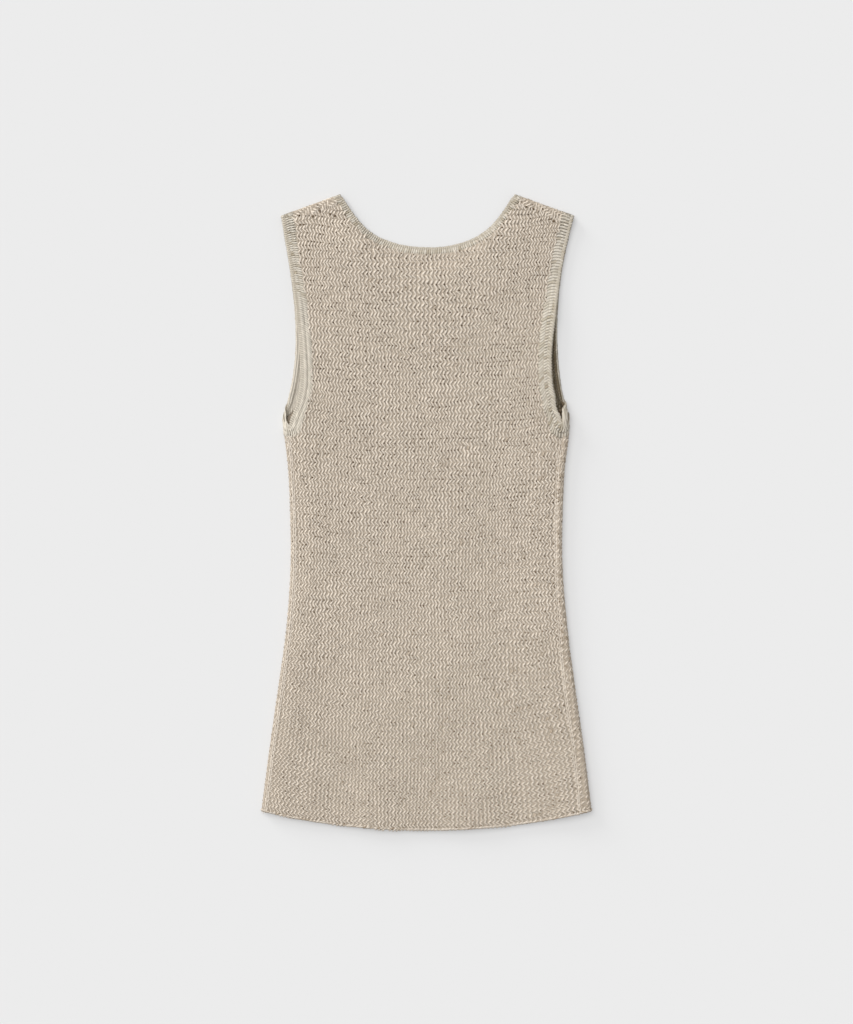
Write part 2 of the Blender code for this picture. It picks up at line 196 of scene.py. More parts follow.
UNDERARM = (
    UnderarmRow(100.0, 11.3, 12.6),
    UnderarmRow(94.5, 11.2, 12.0),
    UnderarmRow(89.5, 10.5, 11.4),
    UnderarmRow(86.0, 9.6, 10.9),
    UnderarmRow(84.4, 8.5, 10.2),
    UnderarmRow(86.0, 7.2, 9.5),
    UnderarmRow(90.0, 5.6, 9.0),
    UnderarmRow(94.5, 4.0, 8.2),
    UnderarmRow(98.0, 2.0, 6.6),
    UnderarmRow(101.5, -1.0, 3.2),
    UnderarmRow(105.0, -3.2, -1.6),
)
NECKLINES = (
    NeckRow(-80.5, 303.6, 294.0),
    NeckRow(-75.0, 295.2, 279.5),
    NeckRow(-66.0, 283.0, 262.0),
    NeckRow(-56.0, 273.2, 248.0),
    NeckRow(-42.0, 265.4, 235.6),
    NeckRow(-22.0, 259.4, 226.0),
    NeckRow(0.0, 257.4, 223.0),
    NeckRow(22.0, 258.8, 226.0),
    NeckRow(44.0, 265.4, 236.0),
    NeckRow(58.0, 273.6, 248.4),
    NeckRow(68.0, 283.4, 262.4),
    NeckRow(77.0, 295.6, 280.0),
    NeckRow(82.5, 304.4, 294.6),
)
SHOULDERS = {
    Side.LEFT: ShoulderLine(-141.6, 289.2, -84.6, 310.0),
    Side.RIGHT: ShoulderLine(143.6, 289.2, 86.6, 310.0),
}
ROLLS = (
    RollRow(0.0, 1.6, 2.2),
    RollRow(14.0, 1.4, 2.2),
    RollRow(32.0, 0.7, 1.2),
    RollRow(60.0, 0.0, 0.0),
)
GAUGE = (
    GaugeRow(-310.0, 3.52, 2.75, -17.0, 18.0),
    GaugeRow(-261.0, 3.46, 2.83, -13.0, 14.0),
    GaugeRow(-203.0, 3.38, 3.46, -11.0, 5.0),
    GaugeRow(-144.0, 3.34, 3.75, -6.0, 3.0),
    GaugeRow(-86.0, 3.26, 3.85, -4.0, 1.5),
    GaugeRow(-27.0, 3.30, 3.66, -2.5, 0.0),
    GaugeRow(31.0, 3.38, 3.90, -1.0, 0.0),
    GaugeRow(90.0, 3.52, 4.05, -5.0, -4.0),
    GaugeRow(148.0, 3.66, 4.10, -5.5, -5.5),
    GaugeRow(206.0, 4.03, 4.10, -7.0, -7.0),
    GaugeRow(290.0, 4.30, 4.10, -7.0, -7.0),
    GaugeRow(340.0, 4.30, 4.10, -7.0, -7.0),
)
HEM_RIDGES = (
    Crease(-113.0, -305.0, 75.0, 24.0, 0.9, 0.0),
    Crease(-51.0, -305.0, 110.0, 38.0, 1.6, 0.0),
    Crease(46.0, -305.0, 85.0, 46.0, 1.7, 0.0),
    Crease(139.0, -305.0, 70.0, 22.0, 0.8, 0.0),
)
UNDERSIDE_FOLDS = (
    Crease(-95.0, -305.0, 90.0, 20.0, 0.5, 4.0),
    Crease(-38.0, -305.0, 120.0, 26.0, 0.9, -3.0),
    Crease(55.0, -305.0, 70.0, 30.0, 0.8, 5.0),
    Crease(-62.0, 60.0, 75.0, 15.0, 0.4, -28.0),
    Crease(48.0, 95.0, 55.0, 12.0, 0.35, 34.0),
    Crease(12.0, -70.0, 95.0, 18.0, 0.4, -12.0),
)
UNDERARM_GROOVE = Crease(131.2, 68.0, 20.0, 2.4, -1.7, 3.0)


def eased(share: Array) -> Array:
    """A share from 0 to 1 that starts and ends gently."""
    share = np.clip(share, 0.0, 1.0)
    return share * share * (3 - 2 * share)


class Fade(NamedTuple):
    """A stretch over which something comes in: where it starts and how long it is."""

    start: float
    over: float

    def share(self, place: Array) -> Array:
        """How far in some places are, from 0 to 1."""
        return eased((place - self.start) / self.over)


def hermite(low: Array, high: Array, run_in: Array, run_out: Array, share: Array) -> Array:
    """A cubic between two values.

    Args:
        low: Value at share 0.
        high: Value at share 1.
        run_in: Slope at share 0, times the span.
        run_out: Slope at share 1, times the span.
        share: Where to read it, from 0 to 1.

    Returns:
        The cubic's values.
    """
    rest = 1 - share
    return (
        low * rest * rest * (1 + 2 * share)
        + high * share * share * (3 - 2 * share)
        + run_in * share * rest * rest
        - run_out * share * share * rest
    )


@dataclass(frozen=True)
class Curve:
    """A smooth line through a table's rows."""

    keys: Array
    values: Array

    def __call__(self, key: Array) -> Array:
        """The line's values at some keys.

        Args:
            key: Where to read it; past either end it reads the end.

        Returns:
            The values there.
        """
        spots = np.arange(len(self.keys))
        low = np.maximum(spots - 1, 0)
        high = np.minimum(spots + 1, spots[-1])
        slopes = (self.values[high] - self.values[low]) / (self.keys[high] - self.keys[low])
        key = np.clip(key, self.keys[0], self.keys[-1])
        index = np.clip(np.searchsorted(self.keys, key, side="right") - 1, 0, spots[-1] - 1)
        span = self.keys[index + 1] - self.keys[index]
        ends = self.values[index], self.values[index + 1]
        runs = slopes[index] * span, slopes[index + 1] * span
        return hermite(*ends, *runs, (key - self.keys[index]) / span)


@functools.cache
def column(rows: tuple[NamedTuple, ...], name: str) -> Curve:
    """A table's column as a curve of its first column."""
    return Curve(np.array([row[0] for row in rows]), np.array([getattr(row, name) for row in rows]))


def unit(vectors: Array) -> Array:
    """Vectors made one long."""
    return vectors / np.maximum(np.linalg.norm(vectors, axis=-1, keepdims=True), 1e-9)


def directions(points: Array) -> Array:
    """Unit directions of a line at its points."""
    return unit(np.vstack([points[1:], points[-1:]]) - np.vstack([points[:1], points[:-1]]))


def moved_right(points: Array, inset: float) -> Array:
    """A line moved sideways by a distance, to the right of its run."""
    runs = directions(points)
    return points + inset * np.stack([runs[:, 1], -runs[:, 0]], 1)


def rounded(points: Array) -> Array:
    """A smooth line through some points.

    Args:
        points: The points.

    Returns:
        The line's points.
    """
    runs, line, steps = directions(points), [], 8
    for index in range(len(points) - 1):
        span = np.linalg.norm(points[index + 1] - points[index])
        share = (np.arange(steps) / steps)[:, None]
        ends = points[index], points[index + 1]
        line.append(hermite(*ends, runs[index] * span, runs[index + 1] * span, share))
    return np.vstack([*line, points[-1:]])


def evenly(points: Array, count: int) -> Array:
    """A line as a given number of points, evenly spaced along it.

    Args:
        points: Points of the line.
        count: How many points it gets.

    Returns:
        The new points.
    """
    lengths = np.linalg.norm(np.diff(points, axis=0), axis=1)
    reached = np.concatenate([[0.0], np.cumsum(lengths)])
    wanted = np.linspace(0.0, reached[-1], count)
    return np.stack([np.interp(wanted, reached, axis) for axis in points.T], 1)


def line_length(points: Array) -> float:
    """Length of a line through some points."""
    return float(np.linalg.norm(np.diff(points, axis=0), axis=1).sum())


def clipped(points: Array, measured: Array) -> Array:
    """The stretch of a line where a measure of its points is above zero, with cut ends added.

    Args:
        points: Points of the line.
        measured: The measure at each.

    Returns:
        The kept points.
    """
    kept = []
    for index, point in enumerate(points):
        if index and (measured[index] > 0) != (measured[index - 1] > 0):
            share = measured[index - 1] / (measured[index - 1] - measured[index])
            kept.append(points[index - 1] * (1 - share) + point * share)
        if measured[index] > 0:
            kept.append(point)
    return np.array(kept)


def inside_outline(outline: Array, x: Array, y: Array) -> Array:
    """Which places lie inside a closed outline.

    Args:
        outline: Its corners.
        x: Places across.
        y: Places along.

    Returns:
        True for each place inside.
    """
    held = np.zeros(x.shape, bool)
    for (x0, y0), (x1, y1) in zip(outline, np.roll(outline, -1, axis=0), strict=True):
        spans = (y0 > y) != (y1 > y)
        if y0 != y1:
            held ^= spans & (x < x0 + (y - y0) * (x1 - x0) / (y1 - y0))
    return held


def off_outline(outline: Array, x: Array, y: Array) -> Array:
    """Distance from some places to an outline.

    Args:
        outline: Its corners.
        x: Places across.
        y: Places along.

    Returns:
        Each place's distance.
    """
    nearest = np.full(x.shape, np.inf)
    for start, end in zip(outline, np.roll(outline, -1, axis=0), strict=True):
        run = end - start
        along = ((x - start[0]) * run[0] + (y - start[1]) * run[1]) / max(run @ run, 1e-9)
        along = np.clip(along, 0.0, 1.0)
        away = np.hypot(x - start[0] - along * run[0], y - start[1] - along * run[1])
        nearest = np.minimum(nearest, away)
    return nearest


def coons(left: Array, right: Array, bottom: Array, top: Array) -> Array:
    """A grid of points that fills four border lines.

    Args:
        left: Left border, from the bottom up.
        right: Right border, with as many points.
        bottom: Lower border, from left to right.
        top: Upper border, with as many points.

    Returns:
        Points by row from the bottom, and by column from the left.
    """
    up, across = left[:, 1] + right[:, 1], bottom[:, 0] + top[:, 0]
    up, across = ((axis - axis[0]) / (axis[-1] - axis[0]) for axis in (up, across))
    up, across = up[:, None, None], across[None, :, None]
    corners = (1 - up) * ((1 - across) * bottom[0] + across * bottom[-1])
    corners = corners + up * ((1 - across) * top[0] + across * top[-1])
    lengthways = (1 - up) * bottom[None] + up * top[None]
    sideways = (1 - across) * left[:, None] + across * right[:, None]
    return lengthways + sideways - corners


class Wander(NamedTuple):
    """A gentle wandering over the cloth: its depth, and about how far its highs lie from its lows."""

    depth: float
    reach: float

    def at(self, x: Array, y: Array, seed: int) -> Array:
        """The wandering at some places.

        Args:
            x: Places across.
            y: Places along.
            seed: Which wandering.

        Returns:
            Its value at each place.
        """
        chance = np.random.default_rng(seed)
        total = np.zeros(np.broadcast(x, y).shape)
        waves, slowest, fastest = 7, 0.6, 1.5
        for _ in range(waves):
            turn = chance.uniform(0, 2 * math.pi)
            pace = chance.uniform(slowest, fastest) * math.pi / self.reach
            phase = chance.uniform(0, 2 * math.pi)
            total += np.sin(pace * (x * math.cos(turn) + y * math.sin(turn)) + phase)
        return self.depth * (total / math.sqrt(waves))


@dataclass(frozen=True)
class Lay:
    """The garment's form as it lies: a knitted tube pressed flat, folded at its sides and shoulders."""

    wall: float = 2.4
    flat_top: float = 5.4
    half_length: float = 310.0
    hem_half_width: float = 161.4
    hem_rise: float = 19.0
    hem_power: float = 2.1
    arm_band: float = 10.0
    neck_band: float = 5.6
    seam_gap: float = 0.3
    arm_seam_gap: float = 0.45
    arm_step: float = 0.7
    arm_spread: float = 4.0
    shoulder_seam: float = 9.0
    left_radius: float = 3.6
    right_radius: float = 4.2
    shoulder_radius: float = 3.3
    shoulder_reach: float = 24.0
    roll_fade: Fade = Fade(110.0, 120.0)
    neck_sag: float = 2.2
    sag_fade: Fade = Fade(5.0, 16.0)
    seam_steps: int = 14
    creases: tuple[Crease, ...] = (*HEM_RIDGES, UNDERARM_GROOVE)
    folds: tuple[Crease, ...] = UNDERSIDE_FOLDS

    def radius(self, side: Side) -> float:
        """Outer radius of a side fold."""
        return self.left_radius if side is Side.LEFT else self.right_radius

    def edge(self, side: Side, y: Array) -> Array:
        """Distance of a side fold's outermost line from the middle."""
        return side.value * column(SIDES, side.label)(y)

    def seam(self, side: Side, y: Array) -> Array:
        """Distance of a side seam inside the fold's outermost line."""
        return column(SIDES, side.label + "_seam")(y)

    def hem_y(self, x: Array) -> Array:
        """Height of the hem's curve."""
        return -self.half_length + self.hem_rise * (np.abs(x) / self.hem_half_width) ** self.hem_power

    def plan_x(self, layer: Layer, x: Array, y: Array) -> Array:
        """Place x, as seen from above, of some places on a panel.

        Args:
            layer: Which panel.
            x: Places across, as unrolled.
            y: Places along.

        Returns:
            Each place's x from above.
        """
        if layer is Layer.BACK:
            return x
        plan = x
        for side in Side:
            radius = self.radius(side)
            edge = self.edge(side, y)
            around = side.value * x - edge - self.unrolled(side)
            on_fold = radius * (1 - np.cos(np.clip(around / radius, -QUARTER, QUARTER)))
            flat = np.abs(around) > QUARTER * radius
            inset = np.where(flat, np.abs(around) - self.unrolled(side), on_fold)
            plan = np.where(around > -QUARTER * radius, side.value * (edge - inset), plan)
        return plan

    def unrolled(self, side: Side) -> float:
        """How much longer the cloth round a quarter of a side fold is than it looks from above."""
        return (QUARTER - 1) * self.radius(side)

    def shoulder_axes(self, side: Side) -> tuple[Array, Array, Array, float]:
        """Where a shoulder fold's outermost line runs.

        Args:
            side: Which side.

        Returns:
            Its armhole end, direction to the neck, outward normal and length.
        """
        line = SHOULDERS[side]
        tip = np.array([line.tip_x, line.tip_y])
        run = np.array([line.neck_x, line.neck_y]) - tip
        length = float(np.linalg.norm(run))
        along = run / length
        outward = np.array([-along[1], along[0]])
        return tip, along, outward * np.sign(outward[1]), length

    def shoulder_inset(self, side: Side, x: Array, y: Array) -> Array:
        """Distance inside a shoulder fold's outermost line."""
        tip, _, outward, _ = self.shoulder_axes(side)
        return (tip[0] - x) * outward[0] + (tip[1] - y) * outward[1]

    def rise_beside_fold(self, side: Side, x: Array, y: Array) -> Array:
        """How much the roll beside a side fold lifts the back.

        Args:
            side: Which side.
            x: Places across.
            y: Places along.

        Returns:
            The rise at each place.
        """
        inset = self.edge(side, y) - side.value * x
        seam = self.seam(side, y)
        radius = self.radius(side)
        roll = column(ROLLS, side.label)
        share = eased((inset - radius) / (seam - radius))
        to_fold = (2 * radius - self.flat_top) * (1 - share) + roll(0.0 * x) * share
        rise = np.where(inset < seam, to_fold, roll(inset - seam))
        return rise * (1 - self.roll_fade.share(y))

    def sag_at_neck(self, x: Array, y: Array) -> Array:
        """How far the back sinks where no front lies under it.

        Args:
            x: Places across.
            y: Places along.

        Returns:
            The sag at each place.
        """
        front = column(NECKLINES, "front")
        step = 0.5
        slope = (front(x + step) - front(x - step)) / (2 * step)
        past = (y - front(x)) / np.hypot(1.0, slope)
        return np.where(np.abs(x) > NECKLINES[-1].x, 0.0, self.neck_sag * self.sag_fade.share(past))

    def raised(self, creases: Sequence[Crease], x: Array, y: Array) -> Array:
        """How much some creases lift the cloth.

        Args:
            creases: The creases.
            x: Places across.
            y: Places along.

        Returns:
            The lift at each place.
        """
        total = np.zeros(np.shape(x))
        for crease in creases:
            turn = math.radians(crease.turn)
            across = (x - crease.x) * math.cos(turn) + (y - crease.y) * math.sin(turn)
            along = (y - crease.y) * math.cos(turn) - (x - crease.x) * math.sin(turn)
            width = 1 - eased(np.abs(across) / crease.half_width)
            total += crease.height * width * (1 - eased(np.abs(along) / crease.half_length))
        return total

    def top(self, x: Array, y: Array) -> Array:
        """Height of the garment's upper face.

        Args:
            x: Places across.
            y: Places along.

        Returns:
            The height of each place.
        """
        height = self.flat_top + self.raised(self.creases, x, y) - self.sag_at_neck(x, y)
        for side in Side:
            here = (x < 0) if side is Side.LEFT else (x >= 0)
            inset = self.shoulder_inset(side, x, y) - self.shoulder_radius
            fold = (2 * self.shoulder_radius - self.flat_top) * (1 - eased(inset / self.shoulder_reach))
            height = height + np.where(here, fold + self.rise_beside_fold(side, x, y), 0.0)
        return height

    def back(self, x: Array, y: Array) -> Cloth:
        """The back's outer and inner face at some places."""
        top = self.top(x, y)
        return np.stack([x, y, top], -1), np.stack([x, y, top - self.wall], -1)

    def over_fold(
        self, around: Array, radius: float, line: Sequence[Array], inward: Sequence[float]
    ) -> Cloth:
        """The cloth's faces round a fold.

        Args:
            around: Length round the fold from its outermost line, plus on the back.
            radius: The fold's outer radius.
            line: Places x and y on the outermost line.
            inward: Direction from there into the garment.

        Returns:
            The outer and the inner face.
        """
        flat = np.abs(around) > QUARTER * radius
        on_flat = np.abs(around) - (QUARTER - 1) * radius
        angle = np.clip(around / radius, -QUARTER, QUARTER)
        faces = []
        for depth in (0.0, self.wall):
            reach = radius - depth
            inset = np.where(flat, on_flat, radius - reach * np.cos(angle))
            x, y = (place + way * inset for place, way in zip(line, inward, strict=True))
            beneath = self.raised(self.folds, x, y) + depth
            lying = np.where(around > 0, self.top(x, y) - depth, beneath)
            z = np.where(flat, lying, radius + reach * np.sin(angle))
            faces.append(np.stack([x, y, z], -1))
        return faces[0], faces[1]

    def over_side(self, side: Side, around: Array, y: Array) -> Cloth:
        """The cloth's faces round a side fold, at lengths round it that are plus on the back."""
        line = side.value * self.edge(side, y), y
        return self.over_fold(around, self.radius(side), line, (-side.value, 0.0))

    def over_shoulder(self, side: Side, along: Array, around: Array) -> Cloth:
        """The cloth's faces round a shoulder fold.

        Args:
            side: Which side.
            along: Length along the fold from its armhole end.
            around: Length round the fold, plus on the back.

        Returns:
            The outer and the inner face.
        """
        tip, direction, outward, _ = self.shoulder_axes(side)
        line = [start + way * along for start, way in zip(tip, direction, strict=True)]
        return self.over_fold(around, self.shoulder_radius, line, -outward)

    def front(self, x: Array, y: Array) -> Cloth:
        """The front's outer and inner face at some places of the unrolled cloth.

        Args:
            x: Places across, as unrolled.
            y: Places along, as unrolled.

        Returns:
            The outer and the inner face.
        """
        lift = self.raised(self.folds, x, y)
        cloth = np.stack([x, y, lift], -1), np.stack([x, y, lift + self.wall], -1)
        for side in Side:
            quarter = QUARTER * self.radius(side)
            around = side.value * x - self.edge(side, y) - self.unrolled(side)
            cloth = chosen(around > -quarter, self.over_side(side, around, y), cloth)
            tip, along, _, _ = self.shoulder_axes(side)
            past = -self.shoulder_inset(side, x, y) + self.shoulder_radius
            run = (x - tip[0]) * along[0] + (y - tip[1]) * along[1]
            quarter = QUARTER * self.shoulder_radius
            over = self.over_shoulder(side, run, past - quarter)
            cloth = chosen((past > 0) & (side.value * x > 0), over, cloth)
        return cloth

    def faces(self, layer: Layer, x: Array, y: Array) -> Cloth:
        """A layer's outer and inner face."""
        return self.back(x, y) if layer is Layer.BACK else self.front(x, y)

    def spread_normals(self, edge: Array) -> Array:
        """Unit normals of an evenly spaced line that turn gently at its bends.

        Args:
            edge: Points of the line.

        Returns:
            A normal for each point, to the left of the run.
        """
        runs = directions(edge)
        spots = np.arange(len(edge)) * self.arm_step / self.arm_spread
        weights = np.exp(-((spots[:, None] - spots[None, :]) ** 2) / 2)
        return unit(weights @ np.stack([-runs[:, 1], runs[:, 0]], 1))

    def arm_curve(self, side: Side, inset: float) -> Array:
        """A line round an armhole at a distance from its edge, from the back's shoulder to the front's.

        Args:
            side: Which armhole.
            inset: Distance from its edge.

        Returns:
            Rows of the length round the side fold and the height y.
        """

        def developed(x: float, y: float, sign: int) -> tuple[float, float]:
            """Length round the side fold and height y of a place on the back or the front."""
            edge = float(self.edge(side, np.array(y)))
            return sign * (edge - side.value * x + self.unrolled(side)), y

        back = [developed(getattr(row, "back_" + side.label), row.y, 1) for row in ARMHOLES]
        foot = [(getattr(row, side.label), row.y) for row in UNDERARM]
        front = [developed(getattr(row, "front_" + side.label), row.y, -1) for row in ARMHOLES]
        edge = rounded(np.array(back[::-1] + foot + front))
        edge = evenly(edge, round(line_length(edge) / self.arm_step) + 1)
        line = edge + inset * self.spread_normals(edge)
        tip, along, outward, _ = self.shoulder_axes(side)
        corner = tip + along * inset - outward * self.shoulder_radius
        ends = [developed(*corner, 1)], [developed(*corner, -1)]
        return np.vstack([ends[0], line, ends[1]])

    def shoulder_steps(self, spacing: float) -> Array:
        """Lengths round a shoulder fold, from its lower side to just short of its upper side."""
        reach = QUARTER * self.shoulder_radius
        return np.linspace(-reach, reach, round(2 * reach / spacing) + 1)[:-1]

    def neck_line(self, layer: Layer, inset: float) -> Array:
        """A line along a neck edge at a distance from it, from left to right.

        Args:
            layer: Which panel.
            inset: Distance from the edge.

        Returns:
            The line's points.
        """
        edge = np.array([(row.x, getattr(row, layer.value)) for row in NECKLINES])
        line = moved_right(rounded(edge), inset)
        ends = []
        for side in Side:
            tip, along, outward, length = self.shoulder_axes(side)
            ends.append([tip + along * (length - inset) - outward * self.shoulder_radius])
        return np.vstack([ends[0], line, ends[1]])

    def beyond_shoulder(self, side: Side, start: Array, clear: float) -> Array:
        """The unrolled line over a shoulder fold, from its flat start to beside the shoulder seam.

        Args:
            side: Which side.
            start: Its flat start.
            clear: Its gap to the seam's line.

        Returns:
            The line's points.
        """
        _, _, outward, _ = self.shoulder_axes(side)
        reach = (math.pi - 1) * self.shoulder_radius + self.shoulder_seam - clear
        steps = np.linspace(0.0, reach, self.seam_steps + 1)[1:, None]
        return start + steps * outward

    def seam_x(self, layer: Layer, side: Side, y: Array, clear: float) -> Array:
        """A panel's edge along a side seam.

        Args:
            layer: Which panel.
            side: Which side.
            y: Places along.
            clear: Its gap to the seam's line.

        Returns:
            Its x, as unrolled on the front.
        """
        if layer is Layer.BACK:
            return side.value * (self.edge(side, y) - self.seam(side, y) - clear)
        around = self.seam(side, y) + self.unrolled(side) - clear
        return side.value * (self.edge(side, y) + self.unrolled(side) + around)

    def side_border(self, layer: Layer, side: Side, clear: float, counts: tuple[int, int]) -> Array:
        """A panel's side edge, from the hem up the seam and the armhole to the shoulder seam.

        Args:
            layer: Which panel.
            side: Which side.
            clear: Its gap to the seams' lines.
            counts: How many points lie along the seam and along the armhole.

        Returns:
            The points of the edge.
        """
        curve = self.arm_curve(side, self.arm_band + self.arm_seam_gap + clear - self.seam_gap / 2)
        line = self.seam(side, curve[:, 1]) + self.unrolled(side)
        sign = 1 if layer is Layer.BACK else -1
        kept = clipped(curve, sign * (curve[:, 0] - line) - clear)
        kept = kept[::-1] if layer is Layer.BACK else kept
        around, y = kept[:, 0], kept[:, 1]
        x = side.value * (self.edge(side, y) + self.unrolled(side) - sign * around)
        leg = np.stack([x, y], 1)
        if layer is Layer.BACK:
            leg = clipped(leg, self.shoulder_inset(side, *leg.T) - self.shoulder_seam - clear)
        leg[:, 1] = np.maximum.accumulate(leg[:, 1])
        lowest = np.array(SIDES[0].y)
        start = self.hem_y(self.plan_x(layer, self.seam_x(layer, side, lowest, clear), lowest))
        heights = np.linspace(start, leg[0, 1], counts[0], endpoint=False)
        border = [np.stack([self.seam_x(layer, side, heights, clear), heights], 1), evenly(leg, counts[1])]
        if layer is Layer.FRONT:
            border.append(self.beyond_shoulder(side, leg[-1], clear))
        return np.vstack(border)

    def neck_border(self, layer: Layer, clear: float, count: int) -> Array:
        """A panel's edge along the neck, from one shoulder seam to the other.

        Args:
            layer: Which panel.
            clear: Its gap to the seams' lines.
            count: Number of points along the neck.

        Returns:
            The points of the edge.
        """
        line = self.neck_line(layer, self.neck_band + self.seam_gap / 2 + clear)
        if layer is Layer.FRONT:
            left = self.beyond_shoulder(Side.LEFT, line[0], clear)[::-1]
            right = self.beyond_shoulder(Side.RIGHT, line[-1], clear)
            return np.vstack([left, evenly(line, count), right])
        insets = [self.shoulder_inset(side, *line.T) for side in Side]
        nearest = np.where(line[:, 0] < 0, insets[0], insets[1])
        return evenly(clipped(line, nearest - self.shoulder_seam - clear), count)


def sunk(cloth: Cloth, depth: float) -> tuple[Array, Array]:
    """Places at a depth under a cloth's outer face, and the face's normals."""
    normal = unit(cloth[0] - cloth[1])
    return cloth[0] - normal * depth, normal


def chosen(here: Array, first: Cloth, second: Cloth) -> Cloth:
    """The first cloth's faces where a mask holds, and the second's elsewhere."""
    mask = here[..., None]
    return np.where(mask, first[0], second[0]), np.where(mask, first[1], second[1])


@dataclass(frozen=True)
class Gauge:
    """Where a panel's wales and rows run. Wale 0 is the middle one, and row 0 starts at the hem."""

    lay: Lay
    layer: Layer
    half_wales: float
    hem_fades_over: float = 240.0
    lasting_bend: float = 0.4
    across: Wander = Wander(1.0, 34.0)
    along: Wander = Wander(1.0, 28.0)
    samples: int = 3000
    seed: int = 3

    def row_lines(self) -> tuple[Array, Array]:
        """Heights y at the middle, and the row that each is in.

        Returns:
            The heights and the rows.
        """
        heights = np.linspace(GAUGE[0].y, GAUGE[-1].y, self.samples)
        rows = np.cumsum(np.gradient(heights) / column(GAUGE, "row")(heights))
        return heights, rows - rows[0]

    def row_count(self) -> int:
        """How many rows the longest wale can have."""
        return int(self.row_lines()[1][-1])

    def reach(self, side: Side, y: Array) -> Array:
        """Distance from the middle wale to the panel's edge beside the side seam.

        Args:
            side: Which side.
            y: Places along.

        Returns:
            The distance at each place.
        """
        lay = self.lay
        reach = lay.edge(side, y) - lay.seam(side, y) + column(GAUGE, side.label)(y)
        if self.layer is Layer.FRONT:
            reach = reach + 2 * lay.seam(side, y) + 2 * lay.unrolled(side)
        return reach

    def wale_x(self, wale: Array, y: Array) -> Array:
        """Place x of a wale, evenly pitched at the middle and spread to meet the panel's edges.

        Args:
            wale: The wales.
            y: Places along.

        Returns:
            Their x.
        """
        pitch = column(GAUGE, "pitch")(y)
        share = wale / self.half_wales
        reach = np.where(wale < 0, self.reach(Side.LEFT, y), self.reach(Side.RIGHT, y))
        return pitch * wale + (reach - pitch * self.half_wales) * share * np.abs(share)

    def bend(self, x: Array, y: Array) -> Array:
        """How far the rows follow the hem's curve.

        Args:
            x: Places across.
            y: Places along.

        Returns:
            The rise of the row at each place.
        """
        fade = 1 - eased((y + self.lay.half_length) / self.hem_fades_over)
        share = self.lasting_bend + (1 - self.lasting_bend) * fade
        return (self.lay.hem_y(self.lay.plan_x(self.layer, x, y)) + self.lay.half_length) * share

    def place(self, wale: Array, row: Array) -> tuple[Array, Array]:
        """Place x and y of some wales and rows.

        Args:
            wale: The wales.
            row: The rows.

        Returns:
            Their x and y.
        """
        heights, rows = self.row_lines()
        y = np.interp(row, rows, heights)
        x = self.wale_x(wale, y)
        y = y + self.bend(x, y)
        x = x + self.across.at(x, y, self.seed)
        return x, y + self.along.at(x, y, self.seed + 1)

    def find(self, x: Array, y: Array) -> tuple[Array, Array]:
        """The wale and row at some places, which can lie between two.

        Args:
            x: Places across.
            y: Places along.

        Returns:
            The wales and the rows.
        """
        heights, rows = self.row_lines()
        level = y - self.bend(x, y)
        wale = x / column(GAUGE, "pitch")(level)
        step, rounds = 0.05, 6
        for _ in range(rounds):
            slope = (self.wale_x(wale + step, level) - self.wale_x(wale - step, level)) / (2 * step)
            wale = wale - (self.wale_x(wale, level) - x) / slope
        return wale, np.interp(level, heights, rows)


def new_object(name: str, data: bpy.types.ID) -> bpy.types.Object:
    """An object in the scene.

    Args:
        name: Its name.
        data: The mesh, light or camera that it holds.

    Returns:
        The object.
    """
    made = bpy.data.objects.new(name, data)
    bpy.context.scene.collection.objects.link(made)
    return made


def quads(rows: int, columns: int, closed: bool) -> Array:
    """Corner numbers of the faces of a grid of points.

    Args:
        rows: Number of rows of points.
        columns: Number of points in a row.
        closed: Whether the last row joins the first, and a row's last point its first.

    Returns:
        Four corners for each face.
    """
    row = np.arange(rows if closed else rows - 1)
    across = np.arange(columns if closed else columns - 1)
    r, c = (grid.ravel() for grid in np.meshgrid(row, across, indexing="ij"))
    r1, c1 = (r + 1) % rows, (c + 1) % columns
    return np.stack([r * columns + c, r * columns + c1, r1 * columns + c1, r1 * columns + c], 1)


def make_mesh(name: str, points: Array, faces: Array) -> bpy.types.Mesh:
    """A smooth mesh, from points in millimetres, with its normals pointing out.

    Args:
        name: Its name.
        points: Its points in millimetres.
        faces: Corners of its faces.

    Returns:
        The mesh.
    """
    mesh = bpy.data.meshes.new(name)
    mesh.from_pydata((points * MM).tolist(), [], faces.tolist())
    work = bmesh.new()
    work.from_mesh(mesh)
    bmesh.ops.recalc_face_normals(work, faces=work.faces[:])
    work.to_mesh(mesh)
    work.free()
    mesh.shade_smooth()
    return mesh


def store(mesh: bpy.types.Mesh, name: str, values: Array) -> None:
    """Stores a number or a vector for each point of a mesh.

    Args:
        mesh: The mesh.
        name: The attribute's name.
        values: The numbers, or a row for each vector.
    """
    kind, key = ("FLOAT", "value") if values.ndim == 1 else ("FLOAT_VECTOR", "vector")
    stored = mesh.attributes.new(name, kind, "POINT")
    stored.data.foreach_set(key, np.ascontiguousarray(values, np.float32).ravel())


